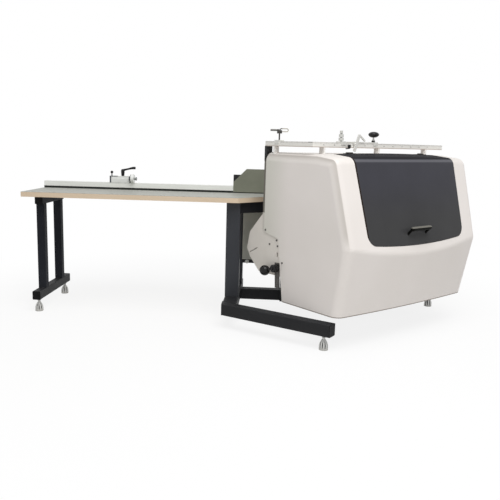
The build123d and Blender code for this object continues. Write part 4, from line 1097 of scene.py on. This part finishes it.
def rail_feet(rear):
    """Pale painted feet; what stands behind the hood's rear edge is black."""
    finish, shader, place = new_finish("rail_feet", specular_ior_level=0.35)
    black = 1.0 - step(distance_along(place, ahead), rear - feet_black, rear - feet_pale)
    peel = noise(place, 500.0, 2.0)
    clouds = noise(place, 30.0, 3.0)
    pale = two_shades(clouds, tone(244, 242, 238), tone(250, 248, 245))
    feed(
        shader,
        base_color=painted(black, pale, tone(26, 26, 28)),
        roughness=0.4 + 0.15 * clouds,
        normal=raised(peel, 0.0002, 0.3),
    )
    return finish


def tee_steel(middle):
    """Handle with a dark steel hub, painted shade on its grey left wing and painted light on its pale right
    wing.
    """
    finish, shader, place = new_finish("tee_steel", metallic=0.3, specular_ior_level=0.3)
    clouds = noise(place, 90.0, 4.0)
    along = part_of(place, "X")
    # painted shade on the left wing and painted light on the right wing
    left_wing_shade = 1.0 - step(along, middle - tee_hub - tee_edge, middle - tee_hub)
    right_wing_light = step(along, middle + tee_hub, middle + tee_hub + tee_edge)
    dark = two_shades(clouds, tone(62, 61, 58), tone(84, 82, 79))
    wing_shaded = painted(left_wing_shade, dark, tone(112, 110, 106))
    feed(
        shader,
        base_color=painted(right_wing_light, wing_shaded, tone(186, 181, 169)),
        roughness=0.32 + 0.2 * clouds,
        normal=raised(clouds, 0.0001, 0.3),
    )
    return finish


def banded_silver(low):
    """Pale turned aluminium with a band of painted shade at each neck, counted up from the foot of the
    turret.
    """
    finish, shader, place = new_finish("banded_silver", metallic=0.1)
    height = part_of(place, "Z") - low
    # painted shade at each neck between the tiers
    neck = 1.0 - step(height.math("MODULO", height, tier_pitch), neck_shade_height, neck_shade_height + neck_shade_fade)
    marks = noise(stretched(place, 40.0, 40.0, 900.0), 2.0, 3.0)
    silver = two_shades(marks, tone(204, 204, 199), tone(222, 222, 217))
    feed(
        shader,
        base_color=painted(neck * 0.9, silver, tone(112, 112, 110)),
        roughness=0.3 + 0.15 * marks,
        normal=raised(marks, 0.0001, 0.3),
    )
    return finish


def rail_figures(node, finish):
    """Numbers of the scale, one every step along the front of a rail, as thin raised figures in one mesh: the
    points of each figure are turned to the rail's own directions and moved to their place."""
    start, end = reach(node, across)
    front = reach(node, ahead)[1]
    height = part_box(node)[1].z - tick_long - digit_height
    axes = np.stack([across, upright, ahead])
    points = np.empty((0, 3))
    faces = np.empty((0, 3), dtype=int)
    for count in range(1, int((end - start) / scale_step)):
        text = bpy.data.curves.new("figure", "FONT")
        text.body = str(round(1000 * count * scale_step))
        text.size = digit_height
        text.align_x = "CENTER"
        text.extrude = digit_relief
        figure = bpy.data.meshes.new_from_object(bpy.data.objects.new("figure", text))
        figure.calc_loop_triangles()
        corners = np.empty(3 * len(figure.loop_triangles), dtype=int)
        figure.loop_triangles.foreach_get("vertices", corners)
        faces = np.concatenate([faces, corners.reshape(-1, 3) + len(points)])
        middle = head_point(front, start + count * scale_step, height)
        points = np.concatenate([points, points_in(figure) @ axes + middle])
    return new_piece("rail_figures", points, faces.tolist(), finish, "head")


def fluted_cap(middle, low, high, widest):
    """Mushroom cap turned about Z: from the throat out along a shallow bowl, a root, to the rim and over a
    flattened dome, an oval. Its radius is drawn in by shallow flutes, deepest at the rim."""
    lift = np.linspace(-1.0, 1.0, 41)[:, None]
    turn = np.linspace(0.0, 2 * np.pi, cap_points, endpoint=False)[None, :]
    rim = low + cap_rim * (high - low)
    dome = np.sqrt(np.clip(1 - np.abs(lift) ** dome_power, 0.0, 1.0))
    bowl = cap_throat + (1 - cap_throat) * np.sqrt(1 + lift)
    outline = np.where(lift > 0, dome, bowl)
    height = np.where(lift > 0, rim + lift * (high - rim), rim + lift * (rim - low))
    flute = 1 - flute_depth * outline ** flute_power * (0.5 + 0.5 * np.cos(cap_flutes * turn))
    radius = np.maximum(widest * outline * flute, cap_least)
    return rings_about((middle[0], middle[1], 0.0), upright, radius, height, cap_points)


def knob_collar(middle, low, high):
    """Collar turned about Z: a flat ring with rounded edges."""
    height = np.array([0.0, 0.15, 0.85, 1.0])
    radius = np.array([0.011, 0.0125, 0.0125, 0.011])[:, None]
    return rings_about((middle[0], middle[1], low), upright, radius, height * (high - low))


def knob_stem(middle, low, high):
    """Stem turned about Z: a step above the collar, a groove, and a slim shaft up into the cap."""
    height = np.array([0.0, 0.06, 0.1, 0.22, 0.25, 1.0])
    radius = np.array([0.009, 0.009, 0.0105, 0.0105, 0.006, 0.006])[:, None]
    return rings_about((middle[0], middle[1], low), upright, radius, height * (high - low))


def running_mean(places):
    """Mean of each place and its neighbours to both sides, with the ends held."""
    window = np.full(2 * lock_round + 1, 1 / (2 * lock_round + 1))
    return np.convolve(np.pad(places, lock_round, mode="edge"), window, "valid")


def lock_lever(start):
    """Cranked lever from a point on the block: a stout grip straight down, then a thin tail to the left,
    along straight runs whose corners are rounded by a running mean."""
    corners = np.arange(len(lock_line))
    share = np.linspace(0.0, corners[-1], 61)
    sideways, climb = [running_mean(np.interp(share, corners, run))[:, None] for run in lock_line.T]
    path = start + head_point(0.0, sideways, climb)
    return bar_along(path, np.interp(share, corners, lock_radii), -ahead)


def rail_screw(middle):
    """Screw in the end of a rail: a slim shank and a flat head."""
    height = np.array([0.0, 0.7, 0.7, 1.1, 1.2])
    radius = np.array([0.45, 0.45, 1.0, 1.0, 0.8])[:, None]
    return rings_about(middle, across, radius * end_screw, height * end_screw)


rail_low, rail_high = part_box("front_rail")
rail_silver = ruled_silver("rail_silver", head_angle, rail_low.z, rail_high.z)
plain_silver = anodised("plain_silver", tone(214, 213, 208), tone(230, 229, 225), 0.34, head_angle)
dress(rail_silver, "front_rail")
dress(ruled_silver("side_rail_silver", head_angle - math.pi / 2, rail_low.z, rail_high.z), "side_rail")
dress(rail_feet(hood_rear), "rail_supports")
dress(plain_silver, "tee_block", "width_stop", "stop_prop")
dress(banded_silver(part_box("stop_turret")[0].z), "stop_turret")
tee_low, tee_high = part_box("tee_handle")
dress(tee_steel((tee_low.x + tee_high.x) / 2), "tee_handle")

knob_low, knob_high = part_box("stop_knob")
knob_middle = (knob_low + knob_high) / 2
cap_low = knob_low.z + cap_share * (knob_high.z - knob_low.z)
collar_high = knob_low.z + collar_share * (knob_high.z - knob_low.z)
knob_cap = fluted_cap(knob_middle, cap_low, knob_high.z, (knob_high.x - knob_low.x) / 2)
collar = knob_collar(knob_middle, knob_low.z, collar_high)
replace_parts(add_piece("knob_cap", [knob_cap, collar], knob_black, "knob"), "stop_knob")
stem = knob_stem(knob_middle, collar_high, cap_low + stem_sunk)
add_piece("knob_stem", [stem], bright_steel, "knob")

rail_rear, rail_front = reach("front_rail", ahead)
rail_right = reach("front_rail", across)[1]
turret_right = reach("stop_turret", across)[1]
lock_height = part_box("width_stop")[0].z + lock_lift
lock_grid = lock_lever(head_point(rail_front + lock_ahead, turret_right - lock_inset, lock_height))
add_piece("lock_lever", [lock_grid], knob_black, "width_stop")

screw_place = head_point((rail_rear + rail_front) / 2, rail_right, (rail_low.z + rail_high.z) / 2)
add_piece("rail_screw", [rail_screw(screw_place)], screw_steel, "head")
rail_figures("front_rail", knob_black)


# Flap. A smoked plastic panel on steel hinges along the roof, lifted by a moulded bow handle whose grip has a
# painted grey highlight along its top. The panel is dark along its left edge, and the part that lies on the
# roof has painted shade and a duller sheen.

flap_edge = 0.2118      # left edge of the flap at floor height, from the left side of the hood
flap_lean = 0.0384      # metres that the edge moves to the left with each metre up
edge_width = 0.010      # of the dark band along the left edge
edge_blur = 0.001       # half the width over which that edge ends
warm_height = 0.75      # up to which the grey is warm
cool_height = 1.1       # from which it is bluish
bend_highlight_drop = 0.045       # middle of the painted highlight along the bend, below the top of the panel
bend_highlight_width = 0.012      # from the middle to where the painted highlight has faded
bend_highlight_full = 0.2         # of that width, in which the painted highlight is at its brightest
flap_roof_shade = 0.036       # height below the top at which the painted shade on the roof part begins
flap_roof_shade_fade = 0.006       # height over which it begins
top_highlight_part = 0.0085    # height of the painted highlight at the top of the handle
top_highlight_full = 0.8       # of that height, over which the highlight is full
grip_radius = 0.0145    # of the moulded grip along the bar of the handle
grip_inset = 0.0125     # from the front and the top of the handle to the middle of its grip


def smoked_panel(left, top):
    """Smoked plastic: deep grey, bluish above, with faint clouds, a soft gloss in its lacquer, a painted
    highlight along the bend, painted shade and a duller sheen on the part on the roof, and a dark band along
    its left edge that leans to the left."""
    finish, shader, place = new_finish("smoked_panel", specular_ior_level=0.02, coat_roughness=0.2)
    clouds = noise(place, 3.0, 3.0)
    haze = noise(place, 40.0, 3.0)
    height = part_of(place, "Z")
    inward = distance_along(place, across) + height * flap_lean - (left + flap_edge)
    # dark band along the left edge
    cut = 1.0 - step(inward, edge_width - edge_blur, edge_width + edge_blur)
    # painted shade on the part that lies on the roof
    roof = step(height, top - flap_roof_shade, top - flap_roof_shade + flap_roof_shade_fade)
    warm = two_shades(clouds, tone(64, 64, 65), tone(69, 69, 70))
    cool = two_shades(clouds, tone(63, 63, 69), tone(68, 68, 75))
    smoke = painted(step(height, warm_height, cool_height), warm, cool)
    # painted highlight along the bend
    from_bend = height.math("ABSOLUTE", height - (top - bend_highlight_drop))
    bend_highlight = 1.0 - step(from_bend, bend_highlight_full * bend_highlight_width, bend_highlight_width)
    highlit = painted(bend_highlight * 0.8, smoke, tone(104, 104, 110))
    painted_shade = painted(roof, highlit, tone(41, 41, 44))
    feed(
        shader,
        base_color=painted(cut, painted_shade, tone(46, 38, 34)),
        roughness=0.3 + 0.08 * haze + 0.3 * roof,
        coat_weight=0.12 * (1.0 - roof),
        normal=raised(haze, 0.00002, 0.2),
    )
    return finish


def rubbed_black(top):
    """Black moulding with a painted grey highlight along the top of its grip."""
    finish, shader, place = new_finish("rubbed_black", specular_ior_level=0.03)
    # painted highlight along the top of the grip
    painted_lighting = step(part_of(place, "Z"), top - top_highlight_part, top - top_highlight_full * top_highlight_part)
    grain = noise(place, 300.0, 3.0)
    feed(
        shader,
        base_color=painted(painted_lighting * (0.7 + 0.3 * grain), tone(18, 18, 17), tone(128, 126, 119)),
        roughness=0.25 + 0.2 * grain,
        normal=raised(grain, 0.0001, 0.3),
    )
    return finish


def handle_grip(left, right, front, top):
    """Straight round grip along the bar of the handle: one circle carried across, whose radius closes at both
    ends."""
    share = np.linspace(0.0, 1.0, 41)
    run = (left + share * (right - left))[:, None]
    path = head_point(front - grip_inset, run, top - grip_inset)
    return bar_along(path, grip_radius * closed_ends(share), upright)


flap_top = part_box("flap_panel")[1].z
dress(smoked_panel(hood_left, flap_top), "flap_panel")
handle_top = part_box("flap_handle")[1].z
handle_black = rubbed_black(handle_top)
dress(handle_black, "flap_handle")
handle_grid = handle_grip(*reach("flap_handle", across), reach("flap_handle", ahead)[1], handle_top)
add_piece("handle_grip", [handle_grid], handle_black, "flap")
dress(screw_steel, "hinge_fixed", "hinge_moving")


# Cutting unit. Ground rods carry an iron saddle across the head, and a screw moves it. A lift screw raises
# the painted motor in its carrier, and the cutter head turns on the motor's spindle.

cross_pitch = 0.005     # of the cross screw's thread
lift_pitch = 0.004      # of the lift screw's thread


def motor_coat():
    """Grey satin motor paint."""
    shade = (tone(92, 98, 102), tone(106, 112, 116))
    return satin_paint("motor_coat", *shade, gloss=0.4, peel=500.0, clouds=9.0, rough=0.4, relief=0.4)


dress(bright_steel, "cross_rods", "spindle", "cutter_head")
dress(turned_steel("cross_screw_steel", cross_pitch, across), "cross_screw")
dress(turned_steel("lift_screw_steel", lift_pitch), "lift_screw")
dress(iron, "saddle", "lift_frame", "motor_carrier")
dress(motor_coat(), "motor_body")


# Floor and backdrop. A plain pale floor that shows white to the camera and keeps a soft shadow, under a
# white studio.

floor_half = 30.0       # metres to each side
floor_shade = (0.67, 0.665, 0.65, 1.0)      # of the light that the floor throws back
shadow_shade = (0.95, 0.95, 0.95, 1.0)
plain_white = (1.0, 1.0, 1.0, 1.0)
shadow_share = 0.16     # how much of the shadow shows on the white
shadow_reach = 3.2      # metres from the middle of the machine to where the floor is plain white
shadow_full = 0.4       # of that reach, within which the shadow is full


def seeing_rays(start):
    """1 for the rays that see the backdrop: from the camera, off gloss and through glass."""
    straight = start.node("ShaderNodeLightPath", output="Is Camera Ray")
    mirrored = start.node("ShaderNodeLightPath", output="Is Glossy Ray")
    through = start.node("ShaderNodeLightPath", output="Is Transmission Ray")
    return straight + mirrored + through


def studio_floor():
    """Pale floor: diffuse for the light it throws back. Rays that see it see white, mixed with the floor's
    own shade near the machine, so that its shadow stays."""
    finish = bpy.data.materials.new("studio_floor")
    finish.use_nodes = True
    tree = finish.node_tree
    tree.nodes.clear()
    start = Wire(tree)
    place = start.node("ShaderNodeTexCoord", output="Object")
    distance = away_from(place, (0.0, 0.0, 0.0), (1.0, 1.0, 0.0))
    near = 1.0 - step(distance, shadow_full * shadow_reach, shadow_reach)
    bounce = start.node("ShaderNodeBsdfDiffuse", None, {"Color": floor_shade})
    shadow = start.node("ShaderNodeBsdfDiffuse", None, {"Color": shadow_shade})
    glow = start.node("ShaderNodeEmission", None, {"Color": plain_white, "Strength": 1.0})
    shown = start.node("ShaderNodeMixShader", None, {0: near * shadow_share, 1: glow, 2: shadow})
    mixed = start.node("ShaderNodeMixShader", None, {0: seeing_rays(start), 1: bounce, 2: shown})
    start.node("ShaderNodeOutputMaterial", None, {"Surface": mixed})
    return finish


def flat_floor(half):
    """A square of floor at height zero, so many metres to each side."""
    corners = np.array([(-half, -half, 0), (half, -half, 0), (half, half, 0), (-half, half, 0)])
    mesh = bpy.data.meshes.new("floor")
    mesh.from_pydata(corners.tolist(), [], [(0, 1, 2, 3)])
    return bpy.data.objects.new("floor", mesh)


floor = flat_floor(floor_half)
floor.data.materials.append(studio_floor())
bpy.context.scene.collection.objects.link(floor)


# Light. One large soft box hangs above and in front of the machine and faces it, and an even white sky lights
# it from all round. Rays that see the sky see plain white.

sky_strength = 0.44
box_aim = Vector((0.3, 0.0, 0.6))       # the point of the machine that the soft box faces
box_direction = Vector((0.106, -0.387, 0.693)).normalized()
box_distance = 6.0
box_size = 4.5
box_power = 272.0

world = bpy.data.worlds.new("studio")
bpy.context.scene.world = world
world.use_nodes = True
world.node_tree.nodes.clear()
sky = Wire(world.node_tree)
even = sky.node("ShaderNodeBackground", None, {"Color": plain_white, "Strength": sky_strength})
white = sky.node("ShaderNodeBackground", None, {"Color": plain_white, "Strength": 1.0})
shown_sky = sky.node("ShaderNodeMixShader", None, {0: seeing_rays(sky), 1: even, 2: white})
sky.node("ShaderNodeOutputWorld", None, {"Surface": shown_sky})

soft_box = bpy.data.objects.new("soft_box", bpy.data.lights.new("soft_box", "AREA"))
soft_box.data.shape = "SQUARE"
soft_box.data.size = box_size
soft_box.data.energy = box_power
soft_box.matrix_world = (
    Matrix.Translation(box_aim + box_direction * box_distance)
    @ box_direction.to_track_quat("Z", "Y").to_matrix().to_4x4()
)
bpy.context.scene.collection.objects.link(soft_box)


# Camera. It stands in front of the table at about chest height, turned a little to the left and down and
# tilted a little about its axis. Its place is counted from the table, and its angles are in radians.

eye_along = 1.83485     # from the left end of the table
eye_back = 4.27765      # in front of the front edge of the table
eye_height = 1.27164    # above the floor
eye_yaw = -0.0726375
eye_pitch = 0.1712053
eye_roll = 0.0235937
frame_pixels = 500
focal_pixels = 613.383
axis_pixel = 231.121    # where the optical axis meets the picture, from its left side

table_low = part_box("table_board")[0]
forward = Vector((
    math.sin(eye_yaw) * math.cos(eye_pitch),
    math.cos(eye_yaw) * math.cos(eye_pitch),
    -math.sin(eye_pitch),
))
level = Vector((math.cos(eye_yaw), -math.sin(eye_yaw), 0.0))
upward = level.cross(forward)
right = math.cos(eye_roll) * level + math.sin(eye_roll) * upward
above = math.cos(eye_roll) * upward - math.sin(eye_roll) * level
turn = Matrix((right, above, -forward)).transposed()
eye = Vector((table_low.x + eye_along, table_low.y - eye_back, eye_height))

camera = bpy.data.objects.new("camera", bpy.data.cameras.new("camera"))
camera.data.sensor_width = 36.0
camera.data.lens = focal_pixels / frame_pixels * camera.data.sensor_width
camera.data.shift_x = (frame_pixels / 2 - axis_pixel) / frame_pixels
camera.matrix_world = Matrix.Translation(eye) @ turn.to_4x4()
bpy.context.scene.collection.objects.link(camera)
bpy.context.scene.camera = camera
bpy.context.scene.view_settings.view_transform = "Standard"
